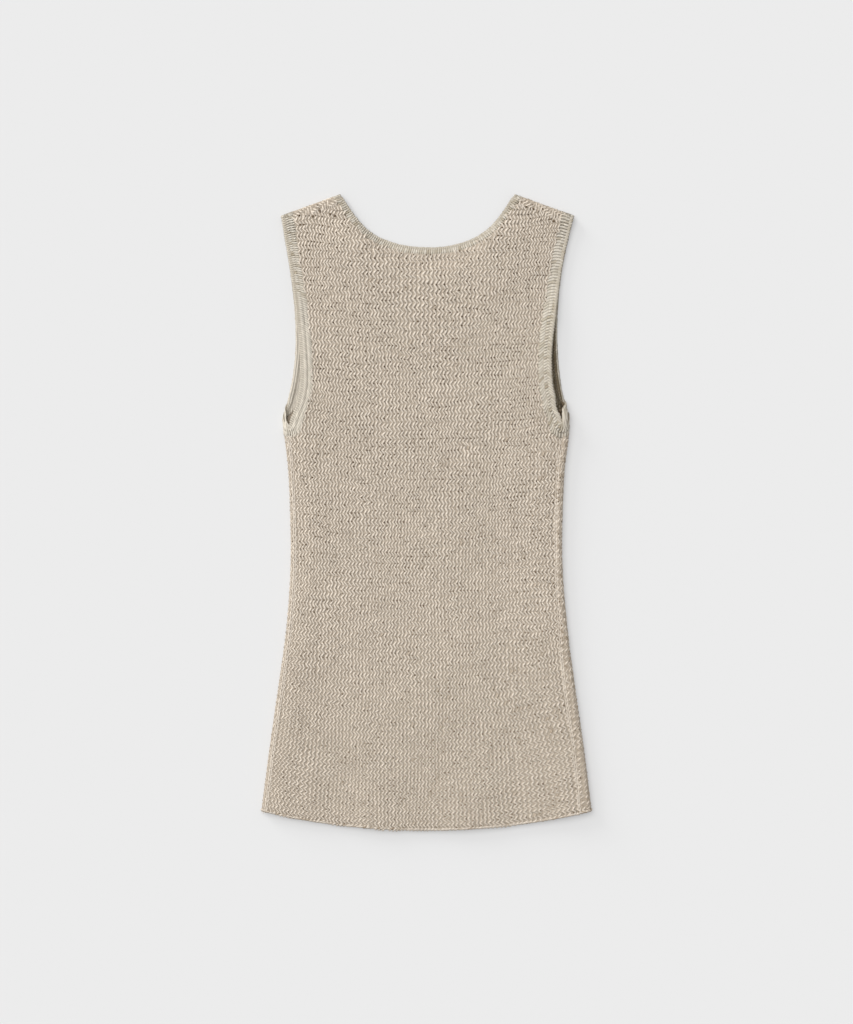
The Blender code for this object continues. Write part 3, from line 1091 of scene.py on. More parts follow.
class Nodes:
    """Adds and links nodes of one tree."""

    def __init__(self, tree: bpy.types.NodeTree) -> None:
        """Keeps the tree."""
        self.tree = tree

    def add(self, kind: str, *inputs: object, **settings: object) -> bpy.types.Node:
        """Adds a node.

        Args:
            kind: The node's type.
            *inputs: A value or a socket for each of its first inputs; None leaves one alone.
            **settings: Properties of the node.

        Returns:
            The node.
        """
        node = self.tree.nodes.new(kind)
        for key, value in settings.items():
            setattr(node, key, value)
        for index, value in enumerate(inputs):
            self.put(node, index, value)
        return node

    def put(self, node: bpy.types.Node, socket: int | str, value: object) -> None:
        """Sets one input of a node to a value or links it to a socket.

        Args:
            node: The node.
            socket: The input's number or name.
            value: The value or the socket.
        """
        if isinstance(value, bpy.types.NodeSocket):
            self.tree.links.new(value, node.inputs[socket])
        elif value is not None:
            node.inputs[socket].default_value = value

    def math(self, operation: str, *inputs: object) -> bpy.types.NodeSocket:
        """The result of a Math node."""
        return self.add("ShaderNodeMath", *inputs, operation=operation).outputs[0]


class Noise(NamedTuple):
    """A noise pattern: its scale to a metre, its detail and its roughness."""

    scale: float
    detail: float
    roughness: float


@dataclass(frozen=True)
class Yarn:
    """A heathered yarn of cotton and linen, with its plies and fibres. Depths are in metres."""

    name: str
    light: tuple[float, float, float] = (0.785, 0.716, 0.628)
    dark: tuple[float, float, float] = (0.73, 0.655, 0.569)
    dark_below: float = 0.34
    light_above: float = 0.66
    roughness: float = 0.9
    specular: float = 0.25
    sheen: float = 0.06
    sheen_roughness: float = 0.5
    heather: Noise = Noise(420.0, 3.0, 0.6)
    heather_share: float = 0.6
    fibre: Noise = Noise(2600.0, 2.0, 0.5)
    fibre_relief: Noise = Noise(2600.0, 2.0, 0.6)
    fibre_depth: float = 0.00012
    plies: float = 2.0
    ply_turns: float = 5.0
    ply_depth: float = 0.0001
    # Painted shade: a gamma and the low_shade factor darken and warm each stitch from its top line to its
    # sides; the gamma also darkens the ground.
    painted_shade_gamma: float = 0.7
    low_shade: float = 0.81
    # Painted shade on inner faces: the stitch attribute's third value darkens the ground by inside_shade and
    # warms it.
    inside_shade: float = 0.5
    inside_shade_warmth: float = 2.2
    # Painted shade: stitches tinted below shaded_below get a steeper gamma, darker and warmer, like deep
    # shade in hollows.
    shaded_below: float = 0.9
    shade_warmth: float = 8.0

    def start(self, name: str) -> tuple[bpy.types.Material, Nodes, bpy.types.Node]:
        """A material with its shader, the sheen and roughness set.

        Args:
            name: The material's name.

        Returns:
            The material, its nodes and its shader.
        """
        material = bpy.data.materials.new(name)
        material.use_nodes = True
        nodes, shader = Nodes(material.node_tree), material.node_tree.nodes["Principled BSDF"]
        nodes.put(shader, "Roughness", self.roughness)
        nodes.put(shader, "Specular IOR Level", self.specular)
        nodes.put(shader, "Sheen Weight", self.sheen)
        nodes.put(shader, "Sheen Roughness", self.sheen_roughness)
        material.diffuse_color = (*self.light, 1.0)
        return material, nodes, shader

    def colour(self, nodes: Nodes, coordinates: bpy.types.NodeSocket) -> bpy.types.NodeSocket:
        """The yarn's heathered colour.

        Args:
            nodes: The material's nodes.
            coordinates: Where the yarn is.

        Returns:
            The colour's socket.
        """
        parts = []
        for noise, share in ((self.heather, self.heather_share), (self.fibre, 1 - self.heather_share)):
            pattern = nodes.add("ShaderNodeTexNoise", coordinates, None, *noise).outputs["Fac"]
            parts.append(nodes.math("MULTIPLY", pattern, share))
        ramp = nodes.add("ShaderNodeValToRGB", nodes.math("ADD", *parts))
        stops = (self.dark_below, self.dark), (self.light_above, self.light)
        for element, (position, tone) in zip(ramp.color_ramp.elements, stops, strict=True):
            element.position = position
            element.color = (*tone, 1.0)
        return ramp.outputs["Color"]

    def tinted(self, nodes: Nodes, colour: bpy.types.NodeSocket, factor: object) -> bpy.types.NodeSocket:
        """A colour made lighter or darker by a factor.

        Args:
            nodes: The material's nodes.
            colour: The colour.
            factor: The factor.

        Returns:
            The new colour's socket.
        """
        scaled = nodes.add("ShaderNodeVectorMath", colour, operation="SCALE")
        nodes.put(scaled, "Scale", factor)
        return scaled.outputs["Vector"]

    def bumped(
        self, nodes: Nodes, shader: bpy.types.Node, height: object, distance: float, below: object = None
    ) -> bpy.types.NodeSocket:
        """Adds a bump and links it to the shader.

        Args:
            nodes: The material's nodes.
            shader: The shader.
            height: The bump's height.
            distance: Its depth in metres.
            below: The normal that it stands on, if any.

        Returns:
            The bumped normal.
        """
        bump = nodes.add("ShaderNodeBump")
        nodes.put(bump, "Height", height)
        nodes.put(bump, "Distance", distance)
        nodes.put(bump, "Normal", below)
        nodes.put(shader, "Normal", bump.outputs["Normal"])
        return bump.outputs["Normal"]

    def fibres(self, nodes: Nodes, shader: bpy.types.Node, coordinates: object) -> bpy.types.NodeSocket:
        """Adds the bump of the yarn's fibres."""
        fibre = nodes.add("ShaderNodeTexNoise", coordinates, None, *self.fibre_relief)
        return self.bumped(nodes, shader, fibre.outputs["Fac"], self.fibre_depth)

    def stitches(self) -> bpy.types.Material:
        """The finish of raised stitches: each has its own tint, painted shade darkens and warms each stitch
        towards its sides, and its plies are in relief.

        Returns:
            The material.
        """
        material, nodes, shader = self.start(self.name + "_stitches")
        coordinates = nodes.add("ShaderNodeTexCoord").outputs["Object"]
        tint = nodes.add("ShaderNodeAttribute", attribute_name="tint").outputs["Fac"]
        strand = nodes.add("ShaderNodeAttribute", attribute_name="strand").outputs["Vector"]
        parts = nodes.add("ShaderNodeSeparateXYZ", strand).outputs
        # Painted shade: darker and warmer towards each stitch's sides, by a gamma and by the factor lit.
        side_shade = nodes.math("MULTIPLY", nodes.math("SUBTRACT", 1.0, parts["Z"]), self.painted_shade_gamma)
        # Painted shade: a tint below shaded_below, as in the right armhole's hollow and the pinholes, adds
        # to the gamma.
        below = nodes.math("MAXIMUM", nodes.math("SUBTRACT", self.shaded_below, tint), 0.0)
        shaded = nodes.math("MULTIPLY", below, self.shade_warmth)
        gamma = nodes.math("ADD", nodes.math("ADD", side_shade, shaded), 1.0)
        shaded_colour = nodes.add("ShaderNodeGamma", self.colour(nodes, coordinates), gamma).outputs[0]
        lit = nodes.math("ADD", nodes.math("MULTIPLY", parts["Z"], 1 - self.low_shade), self.low_shade)
        nodes.put(shader, "Base Color", self.tinted(nodes, shaded_colour, nodes.math("MULTIPLY", lit, tint)))
        around = nodes.math("MULTIPLY", nodes.math("ARCTAN2", parts["X"], parts["Z"]), self.plies)
        phase = nodes.math("ADD", nodes.math("MULTIPLY", parts["Y"], self.ply_turns), around)
        below = self.fibres(nodes, shader, coordinates)
        self.bumped(nodes, shader, nodes.math("SINE", phase), self.ply_depth, below)
        return material

    def ground(self, shade: float, zigzag: float, depth: float) -> bpy.types.Material:
        """The finish of the cloth under the stitches, with its wales and rows in relief, darkened as painted
        shade between them.

        Args:
            shade: How dark the ground is, as painted shade beside the foot of the stitches.
            zigzag: How far a wale swings to each side, as a share of its pitch.
            depth: Depth of the relief in metres.

        Returns:
            The material.
        """
        material, nodes, shader = self.start(self.name + "_ground")
        coordinates = nodes.add("ShaderNodeTexCoord").outputs["Object"]
        place = nodes.add("ShaderNodeAttribute", attribute_name="stitch").outputs["Vector"]
        parts = nodes.add("ShaderNodeSeparateXYZ", place).outputs
        # Painted shade: a gamma deepens the ground, and the third stitch value darkens and warms its inner
        # faces more.
        gamma = nodes.math("ADD", nodes.math("MULTIPLY", parts["Z"], self.inside_shade_warmth), 1 + self.painted_shade_gamma)
        shaded_colour = nodes.add("ShaderNodeGamma", self.colour(nodes, coordinates), gamma).outputs[0]
        inside = nodes.math("MULTIPLY", parts["Z"], -self.inside_shade)
        tone = nodes.math("MULTIPLY", nodes.math("ADD", inside, 1.0), shade)
        nodes.put(shader, "Base Color", self.tinted(nodes, shaded_colour, tone))
        swing = nodes.math("MULTIPLY", nodes.math("PINGPONG", parts["Y"], 1.0), 2 * zigzag)
        wale = nodes.math("FRACT", nodes.math("ADD", parts["X"], swing))
        strand = nodes.math("SINE", nodes.math("MULTIPLY", wale, math.pi))
        below = self.fibres(nodes, shader, coordinates)
        self.bumped(nodes, shader, strand, depth, below)
        return material


BODY_YARN = Yarn("body_yarn")
BAND_YARN = Yarn(
    "band_yarn", light=(0.775, 0.722, 0.634), dark=(0.715, 0.662, 0.573), painted_shade_gamma=0.5, low_shade=0.84
)


def group_tree(
    name: str, inputs: dict[str, tuple[str, object]]
) -> tuple[Nodes, bpy.types.Node, dict[str, str]]:
    """A Geometry Nodes tree with named inputs.

    Args:
        name: The tree's name.
        inputs: Each input's socket type and its value at the start, by its name.

    Returns:
        The tree's nodes, its input node, and each input's identifier by its name.
    """
    tree = bpy.data.node_groups.new(name, "GeometryNodeTree")
    tree.interface.new_socket("Geometry", in_out="INPUT", socket_type="NodeSocketGeometry")
    tree.interface.new_socket("Geometry", in_out="OUTPUT", socket_type="NodeSocketGeometry")
    identifiers = {}
    for label, (kind, value) in inputs.items():
        socket = tree.interface.new_socket(label, in_out="INPUT", socket_type=kind)
        if value is not None:
            socket.default_value = value
        identifiers[label] = socket.identifier
    nodes = Nodes(tree)
    return nodes, nodes.add("NodeGroupInput"), identifiers


def stitch_tree() -> Tree:
    """The tree that puts a strand of yarn on each point of a mesh.

    A point holds the strand's direction, the cloth's normal and the strand's half sizes.

    Returns:
        The tree and its inputs' identifiers.
    """
    nodes, given, identifiers = group_tree(
        "knit_stitches",
        {
            "Sides": ("NodeSocketInt", 4),
            "Rings": ("NodeSocketInt", 4),
            "Dip": ("NodeSocketFloat", 0.22),
            "Fullness": ("NodeSocketFloat", 0.35),
            "Finish": ("NodeSocketMaterial", None),
        },
    )
    strand = nodes.add("GeometryNodeMeshUVSphere", given.outputs["Sides"], given.outputs["Rings"], 1.0)
    turned = nodes.add("GeometryNodeTransform", strand.outputs["Mesh"])
    turned.inputs["Rotation"].default_value = (QUARTER, 0.0, 0.0)
    place = nodes.add("GeometryNodeInputPosition").outputs[0]
    kept = nodes.add("GeometryNodeStoreNamedAttribute", data_type="FLOAT_VECTOR", domain="POINT")
    nodes.put(kept, "Geometry", turned.outputs["Geometry"])
    nodes.put(kept, "Name", "strand")
    nodes.put(kept, "Value", place)
    x, y, z = nodes.add("ShaderNodeSeparateXYZ", place).outputs
    end = nodes.math("MULTIPLY", y, y)
    swell = nodes.math("MULTIPLY", nodes.math("MULTIPLY", end, 2.0), given.outputs["Fullness"])
    fuller = nodes.math("ADD", swell, 1.0)
    dip = nodes.math("MULTIPLY", end, given.outputs["Dip"])
    lifted = nodes.math("SUBTRACT", nodes.math("MULTIPLY", z, fuller), dip)
    shaped = nodes.add("ShaderNodeCombineXYZ", nodes.math("MULTIPLY", x, fuller), y, lifted)
    dipped = nodes.add("GeometryNodeSetPosition")
    nodes.put(dipped, "Geometry", kept.outputs["Geometry"])
    nodes.put(dipped, "Position", shaped.outputs[0])
    smooth = nodes.add("GeometryNodeSetShadeSmooth", dipped.outputs["Geometry"])
    read = {
        name: nodes.add("GeometryNodeInputNamedAttribute", name, data_type="FLOAT_VECTOR").outputs[0]
        for name in ("normal_way", "strand_way", "half_size")
    }
    axes = nodes.add("FunctionNodeAxesToRotation", primary_axis="Z", secondary_axis="Y")
    nodes.put(axes, "Primary Axis", read["normal_way"])
    nodes.put(axes, "Secondary Axis", read["strand_way"])
    copies = nodes.add("GeometryNodeInstanceOnPoints")
    nodes.put(copies, "Points", given.outputs["Geometry"])
    nodes.put(copies, "Instance", smooth.outputs["Geometry"])
    nodes.put(copies, "Rotation", axes.outputs["Rotation"])
    nodes.put(copies, "Scale", read["half_size"])
    real = nodes.add("GeometryNodeRealizeInstances", copies.outputs["Instances"])
    dressed = nodes.add("GeometryNodeSetMaterial", real.outputs["Geometry"])
    nodes.put(dressed, "Material", given.outputs["Finish"])
    nodes.add("NodeGroupOutput", dressed.outputs["Geometry"])
    return nodes.tree, identifiers


def grown(name: str, base: bpy.types.Mesh, tree: Tree, settings: dict[str, object]) -> bpy.types.Object:
    """A plain mesh object that a tree makes from a base mesh.

    Args:
        name: Name of the piece.
        base: The mesh that the tree starts from.
        tree: The tree and its inputs' identifiers.
        settings: Values of its inputs by name.

    Returns:
        The finished object.
    """
    source = new_object(name + "_base", base)
    modifier = source.modifiers.new("grow", "NODES")
    modifier.node_group = tree[0]
    for label, value in settings.items():
        modifier[tree[1][label]] = value
    graph = bpy.context.evaluated_depsgraph_get()
    mesh = bpy.data.meshes.new_from_object(source.evaluated_get(graph), depsgraph=graph)
    mesh.name = name
    bpy.data.objects.remove(source, do_unlink=True)
    return new_object(name, mesh)


@dataclass
class Strands:
    """Strands of yarn, gathered from several calls and made as one mesh."""

    name: str
    seed: int
    length_spread: float = 0.05
    width_spread: float = 0.08
    loft_spread: float = 0.07
    tint_spread: float = 0.045
    sets: list[dict[str, Array]] = field(default_factory=list)

    def __post_init__(self) -> None:
        """Starts the run of chances."""
        self.chance = np.random.default_rng(self.seed)

    def add(
        self,
        start: Array,
        end: Array,
        normal: Array,
        width: Array | float,
        loft: Array | float,
        tint: Array | float,
        stretch: float = 1.0,
        unevenness: float = 1.0,
    ) -> None:
        """Adds strands that run from one place to another.

        Args:
            start: Where each starts.
            end: Where each ends.
            normal: The cloth's normal.
            width: Width of each.
            loft: Height of each above its middle.
            tint: How light each is.
            stretch: Length as a share of the run.
            unevenness: How strongly the sizes vary, 1 for the usual.
        """
        count = len(start)
        vary = self.chance.normal(0, unevenness, (count, 4))
        length = np.linalg.norm(end - start, axis=1) * stretch * (1 + self.length_spread * vary[:, 0])
        half_width = width / 2 * (1 + self.width_spread * vary[:, 1])
        high = loft * (1 + self.loft_spread * vary[:, 2])
        self.sets.append(
            {
                "centre": (start + end) / 2,
                "strand_way": unit(end - start),
                "normal_way": normal,
                "half_size": np.stack([half_width, length / 2, high], 1) * MM,
                "tint": tint * (1 + self.tint_spread * vary[:, 3]),
            }
        )

    def build(self, tree: Tree, finish: bpy.types.Material) -> bpy.types.Object:
        """Makes all the strands as one mesh.

        Args:
            tree: The stitches' tree and inputs.
            finish: The yarn.

        Returns:
            The object.
        """
        merged = {key: np.concatenate([one[key] for one in self.sets]) for key in self.sets[0]}
        mesh = bpy.data.meshes.new(self.name + "_points")
        mesh.from_pydata((merged["centre"] * MM).tolist(), [], [])
        for key in ("strand_way", "normal_way", "half_size", "tint"):
            store(mesh, key, merged[key])
        return grown(self.name, mesh, tree, {"Finish": finish})


@dataclass(frozen=True)
class Knit:
    """How the body's stitches stand on their ground, and how they change from zone to zone, with painted
    light and shade in their tints.

    Swing, slip, fill and overlap are shares of a stitch's room. Other lengths are in millimetres.
    """

    swing: float = 0.79
    swing_wander: Wander = Wander(0.1, 22.0)
    swing_spread: float = 0.14
    slip: float = 0.07
    jitter: float = 0.27
    overlap: float = 1.33
    fill: float = 0.84
    width_wander: Wander = Wander(0.03, 16.0)
    thin_share: float = 0.05
    thin_width: float = 0.72
    sink: float = 0.65
    loft: float = 0.55
    loft_wander: Wander = Wander(0.08, 14.0)
    margin: float = 0.05
    spare_wales: int = 6
    hem_fade: Fade = Fade(80.0, 150.0)
    hem_loft: float = 0.18
    hem_calm: float = 0.4
    # Painted shade: hem_tint darkens the stitches towards the hem.
    hem_tint: float = -0.025
    neck_fade: Fade = Fade(6.0, 20.0)
    neck_loft: float = 0.35
    neck_calm: float = 0.8
    calm_fade: Fade = Fade(5.4, 18.0)
    calm_fill: float = -0.24
    calm_loft: float = 0.55
    # Painted light: calm_tint lightens the stitches along the left fold.
    calm_tint: float = 0.14
    side_fade: Fade = Fade(0.0, 150.0)
    left_calm: float = 0.35
    # Painted light and shade: stitches lighter towards the left, darker towards the right.
    left_tint: float = 0.055
    right_tint: float = -0.025
    # Painted shade: the front's stitches turned over the right fold are darker, and their leans are shaded
    # more.
    turned_tint: float = 0.96
    turned_spread: float = 0.8
    turned_lean: float = 0.04
    turned_gap: float = 0.16
    turned_loft: float = 0.25
    tint_wander: Wander = Wander(0.012, 60.0)
    tint_spread: float = 0.015
    # Painted light and shade: lean_tint makes one lean's rows a little darker and the other's lighter.
    lean_tint: float = 0.02
    # Painted light: shoulder_tint lightens the left strap towards the shoulder.
    shoulder_fade: Fade = Fade(245.0, 30.0)
    left_strap_fade: Fade = Fade(0.0, 60.0)
    shoulder_tint: float = 0.09
    tip_fade: Fade = Fade(265.0, 20.0)
    tip_tint: float = 0.07
    pinhole_share: float = 0.5
    pinhole_fade: Fade = Fade(-170.0, 330.0)
    pinhole_wander: Wander = Wander(0.5, 30.0)
    low_pinholes: float = 0.4
    front_pinholes: float = 0.4
    # Painted shade: pinholes and eyelets are dark strands that stand for the shade seen through the
    # openings; low_pinhole_tint is for those low on the body.
    pinhole_tint: float = 0.52
    low_pinhole_tint: float = 0.68
    pinhole_width: float = 1.05
    pinhole_spread: float = 0.25
    pinhole_lift: float = 0.35
    pinhole_loft: float = 0.2
    eyelet_size: float = 1.9
    eyelet_clear: float = 1.4


# Places x and y of the largest openings, beside the shoulder seams.
EYELETS = (
    (-123.8, 288.6),
    (-110.7, 287.6),
    (-122.4, 279.8),
    (-119.2, 279.8),
    (-103.6, 292.5),
    (-93.6, 290.0),
    (-89.2, 288.1),
    (97.2, 297.0),
    (104.1, 294.9),
    (111.8, 284.2),
    (120.6, 285.0),
    (123.8, 283.0),
)


def clear_of_eyelets(x: Array, y: Array, distance: float) -> Array:
    """Which places are farther than a distance from every eyelet."""
    return np.all([np.hypot(x - across, y - up) > distance for across, up in EYELETS], axis=0)


class SeamLook(NamedTuple):
    """How a side seam shows: its stitches' height, and how light its inner and outer line are, as painted
    light and shade.
    """

    loft: float
    inner_tint: float
    outer_tint: float


@dataclass(frozen=True)
class SideSeams:
    """The two lines of stitches that close each side seam."""

    lay: Lay
    pitch: float = 4.2
    sink: float = 0.75
    half_gap: float = 0.8
    lean: float = 0.3
    width: float = 2.0
    stretch: float = 1.4
    hem_clear: float = 0.8
    arm_clear: float = 1.0
    # Painted light and shade: the left seam's lines are lighter, facing the lamps, and the right seam's
    # outer line is darker, facing away.
    left: SeamLook = SeamLook(0.5, 1.06, 1.04)
    right: SeamLook = SeamLook(0.75, 1.04, 0.92)

    def add(self, strands: Strands) -> None:
        """Adds the stitches.

        Args:
            strands: The set to add them to.
        """
        lay = self.lay
        for side, look in ((Side.LEFT, self.left), (Side.RIGHT, self.right)):
            corner = lay.edge(side, np.array(SIDES[0].y)) - SIDES[0].left_seam
            lowest = float(lay.hem_y(corner)) + self.hem_clear
            highest = min(row.y for row in UNDERARM) - lay.arm_band - self.arm_clear
            y = np.linspace(lowest, highest, round((highest - lowest) / self.pitch))
            for sign, tint in ((-1, look.inner_tint), (1, look.outer_tint)):
                ends = []
                for step, shift in ((y[:-1], -sign * self.lean), (y[1:], sign * self.lean)):
                    around = lay.seam(side, step) + lay.unrolled(side) + sign * self.half_gap + shift
                    end, normal = sunk(lay.over_side(side, around, step), self.sink)
                    ends.append(end)
                strands.add(*ends, normal, self.width, look.loft, tint, self.stretch)


@dataclass(frozen=True)
class ShoulderSeams:
    """The stitches that cross each shoulder seam."""

    lay: Lay
    pitch: float = 2.15
    sink: float = 0.85
    lean: float = 0.6
    reach: float = 1.9
    end_clear: float = 0.8
    eyelet_clear: float = 1.7
    width: float = 1.8
    loft: float = 0.65
    stretch: float = 1.2
    unevenness: float = 2.0

    def add(self, strands: Strands) -> None:
        """Adds the stitches.

        Args:
            strands: The set to add them to.
        """
        lay = self.lay
        for side in Side:
            tip, direction, outward, length = lay.shoulder_axes(side)
            first, last = lay.arm_band + self.end_clear, length - lay.neck_band - self.end_clear
            along = np.arange(first, last, self.pitch)
            ends = []
            for sign in (-1, 1):
                x = tip[0] + direction[0] * along - outward[0] * lay.shoulder_seam + sign * self.lean
                y = tip[1] + direction[1] * along - outward[1] * lay.shoulder_seam + sign * self.reach
                end, normal = sunk(lay.back(x, y), self.sink)
                ends.append(end)
            middle = (ends[0] + ends[1]) / 2
            held = clear_of_eyelets(*middle[:, :2].T, self.eyelet_clear)
            start, end, normal = (rows[held] for rows in (*ends, normal))
            strands.add(start, end, normal, self.width, self.loft, 1.0, self.stretch, self.unevenness)


@dataclass(frozen=True)
class HemChain:
    """The cast-on chain along the hem."""

    pitch: float = 3.3
    inset: float = 1.2
    overrun: float = 0.12
    lean: float = 0.45
    sink: float = 0.1
    width: float = 2.2
    loft: float = 0.85
    # Painted shade: the chain is darkened, as its edge faces away from the lamps.
    tint: float = 0.9
    stretch: float = 1.4
    unevenness: float = 1.6


class Stream(IntEnum):
    """Which run of chances each thing on a panel draws from, counted from the panel's seed."""

    JITTER = 0
    THIN = 1
    TINT = 2
    PINHOLE_WANDER = 3
    SWING = 4
    SWING_WANDER = 5
    SLIP = 6
    WIDTH_WANDER = 7
    LOFT_WANDER = 9
    TINT_WANDER = 11
    PINHOLES = 21


class Spots(NamedTuple):
    """Places on a panel, and how far each is into the hem, neck's edge, left edge and right fold."""

    x: Array
    y: Array
    hem: Array
    neck: Array
    calm: Array
    turned: Array


@dataclass
class Panel:
    """One knitted panel: its ground and the stitches that stand on it."""

    lay: Lay
    layer: Layer
    half_wales: float
    seed: int
    knit: Knit = Knit()
    chain: HemChain = HemChain()
    seam_rows: int = 60
    leg_rows: int = 40
    strap_columns: int = 16
    strap_crowding: float = 1.6
    neck_columns: int = 40
    seam_clear: float = 0.15
    # Painted shade on the inner face: its least share on the left, and its fade to full on the right.
    least_inside_shade: float = 0.15
    inside_shade_fade: Fade = Fade(-60.0, 120.0)

    def __post_init__(self) -> None:
        """Places the wales and rows, and the panel's edge."""
        self.node = self.layer.value + "_panel"
        self.gauge = Gauge(self.lay, self.layer, self.half_wales)
        self.edges = self.borders()
        left, right, bottom, top = self.edges
        self.outline = np.vstack([bottom, right[1:], top[::-1][1:], left[::-1][1:-1]])

    def borders(self) -> tuple[Array, Array, Array, Array]:
        """The panel's left, right, lower and upper edges.

        Returns:
            The four lines of points.
        """
        counts = self.seam_rows, self.leg_rows
        left, right = (self.lay.side_border(self.layer, side, self.seam_clear, counts) for side in Side)
        neck = self.lay.neck_border(self.layer, self.seam_clear, self.neck_columns)
        shares = (np.arange(self.strap_columns) / self.strap_columns)[:, None] ** self.strap_crowding
        strap_left = left[-1] + (neck[0] - left[-1]) * shares
        strap_right = right[-1] + (neck[-1] - right[-1]) * shares
        top = np.vstack([strap_left, neck, strap_right[::-1]])
        across = (top[:, 0] - top[0, 0]) / (top[-1, 0] - top[0, 0])
        x = left[0, 0] + (right[0, 0] - left[0, 0]) * across
        plan = self.lay.plan_x(self.layer, x, np.full(x.shape, SIDES[0].y))
        return left, right, np.stack([x, self.lay.hem_y(plan)], 1), top

    def ground(self, finish: bpy.types.Material) -> bpy.types.Object:
        """The panel's cloth under its stitches.

        Args:
            finish: The cloth's material.

        Returns:
            The object.
        """
        grid = coons(*self.edges)
        x, y = grid[..., 0], grid[..., 1]
        outside, inside = self.lay.faces(self.layer, x, y)
        outside = outside + (inside - outside) * self.knit.sink / self.lay.wall
        rows, columns = x.shape
        face = quads(rows, columns, closed=False)
        count = rows * columns
        spot = np.arange(count).reshape(rows, columns)
        border = np.concatenate([spot[0], spot[1:, -1], spot[-1, -2::-1], spot[-2:0:-1, 0]])
        after = np.roll(border, -1)
        rim = np.stack([border, after, after + count, border + count], 1)
        points = np.vstack([outside.reshape(-1, 3), inside.reshape(-1, 3)])
        mesh = make_mesh(self.node + "_ground", points, np.vstack([face, face[:, ::-1] + count, rim]))
        wale, row = self.gauge.find(x.ravel(), y.ravel())
        stitch = np.stack([wale, row, 0 * row], 1)
        # Painted shade: the inner face's share, stored as the third value, darkens and warms it.
        depth = self.least_inside_shade + (1 - self.least_inside_shade) * self.inside_shade_fade.share(x.ravel())
        inside_shading = np.stack([wale, row, depth], 1)
        store(mesh, "stitch", np.vstack([stitch, inside_shading]))
        mesh.materials.append(finish)
        return new_object(self.node + "_ground", mesh)

    def inside_panel(self, x: Array, y: Array) -> Array:
        """Which places are far enough inside the panel's edge, and clear of its eyelets.

        Args:
            x: Places across.
            y: Places along.

        Returns:
            True for each such place.
        """
        held = inside_outline(self.outline, x, y)
        held[held] = off_outline(self.outline, x[held], y[held]) > self.knit.margin
        if self.layer is Layer.BACK:
            held &= clear_of_eyelets(x, y, self.knit.eyelet_clear)
        return held

    def surface(self, x: Array, y: Array, sink: float) -> tuple[Array, Array]:
        """Places at a depth under the panel's outer face, and the face's normals."""
        return sunk(self.lay.faces(self.layer, x, y), sink)

    def spots(self, x: Array, y: Array) -> Spots:
        """Places with the knit's zones.

        Args:
            x: Places across.
            y: Places along.

        Returns:
            The places, with a share from 0 to 1 for each zone.
        """
        knit, lay = self.knit, self.lay
        return Spots(
            x=x,
            y=y,
            hem=knit.hem_fade.share(-y),
            neck=1 - knit.neck_fade.share(column(NECKLINES, self.layer.value)(x) - y),
            calm=1 - knit.calm_fade.share(lay.edge(Side.LEFT, y) + lay.plan_x(self.layer, x, y)),
            turned=eased((x - lay.edge(Side.RIGHT, y)) / lay.right_radius),
        )

    def scatter(self, stream: Stream, spread: float, shape: int | tuple[int, ...]) -> Array:
        """Values that scatter round zero by a spread, from one of the panel's streams of chances."""
        return np.random.default_rng(self.seed + stream).normal(0, spread, shape)

    def widths(self, room: Array, spots: Spots) -> Array:
        """Width of each stitch.

        Args:
            room: Each stitch's room across its slant.
            spots: Their places.

        Returns:
            The widths.
        """
        knit = self.knit
        thin = np.random.default_rng(self.seed + Stream.THIN).random(len(spots.x)) < knit.thin_share
        width = room * knit.fill * np.where(thin, knit.thin_width, 1.0)
        width *= 1 + knit.width_wander.at(spots.x, spots.y, self.seed + Stream.WIDTH_WANDER)
        fuller = np.maximum(spots.calm, knit.neck_calm * spots.neck)
        fuller += knit.left_calm * knit.side_fade.share(-spots.x)
        width *= 1 + knit.calm_fill * (fuller + knit.hem_calm * spots.hem)
        return width * (1 - knit.turned_gap * spots.turned)

    def lofts(self, spots: Spots) -> Array:
        """Height of each stitch above its middle.

        Args:
            spots: Their places.

        Returns:
            The heights.
        """
        knit = self.knit
        loft = knit.loft * (1 + knit.loft_wander.at(spots.x, spots.y, self.seed + Stream.LOFT_WANDER))
        loft = loft * (1 - knit.hem_loft * spots.hem) * (1 - knit.neck_loft * spots.neck)
        return loft * (1 - knit.calm_loft * spots.calm) * (1 + knit.turned_loft * spots.turned)

    def tints(self, sign: Array, spots: Spots) -> Array:
        """How light each stitch is: a random tone, with painted light on the left and painted shade on the
        right, by lean, round the right fold and towards the hem.

        Args:
            sign: Which way each leans.
            spots: Their places.

        Returns:
            The tints.
        """
        knit = self.knit
        tint = 1 + knit.tint_wander.at(spots.x, spots.y, self.seed + Stream.TINT_WANDER)
        tint += knit.left_tint * knit.side_fade.share(-spots.x)
        tint += knit.right_tint * knit.side_fade.share(spots.x)
        tint += knit.hem_tint * spots.hem
        on_strap = knit.left_strap_fade.share(-spots.x)
        tint += knit.shoulder_tint * knit.shoulder_fade.share(spots.y) * on_strap
        tint += knit.tip_tint * knit.tip_fade.share(spots.y)
        tint *= 1 + knit.calm_tint * spots.calm
        tint *= 1 + (knit.turned_tint - 1) * spots.turned
        spread = knit.tint_spread * (1 + knit.turned_spread * spots.turned)
        tint += self.scatter(Stream.TINT, 1.0, len(spots.x)) * spread
        return tint - (knit.lean_tint + knit.turned_lean * spots.turned) * sign

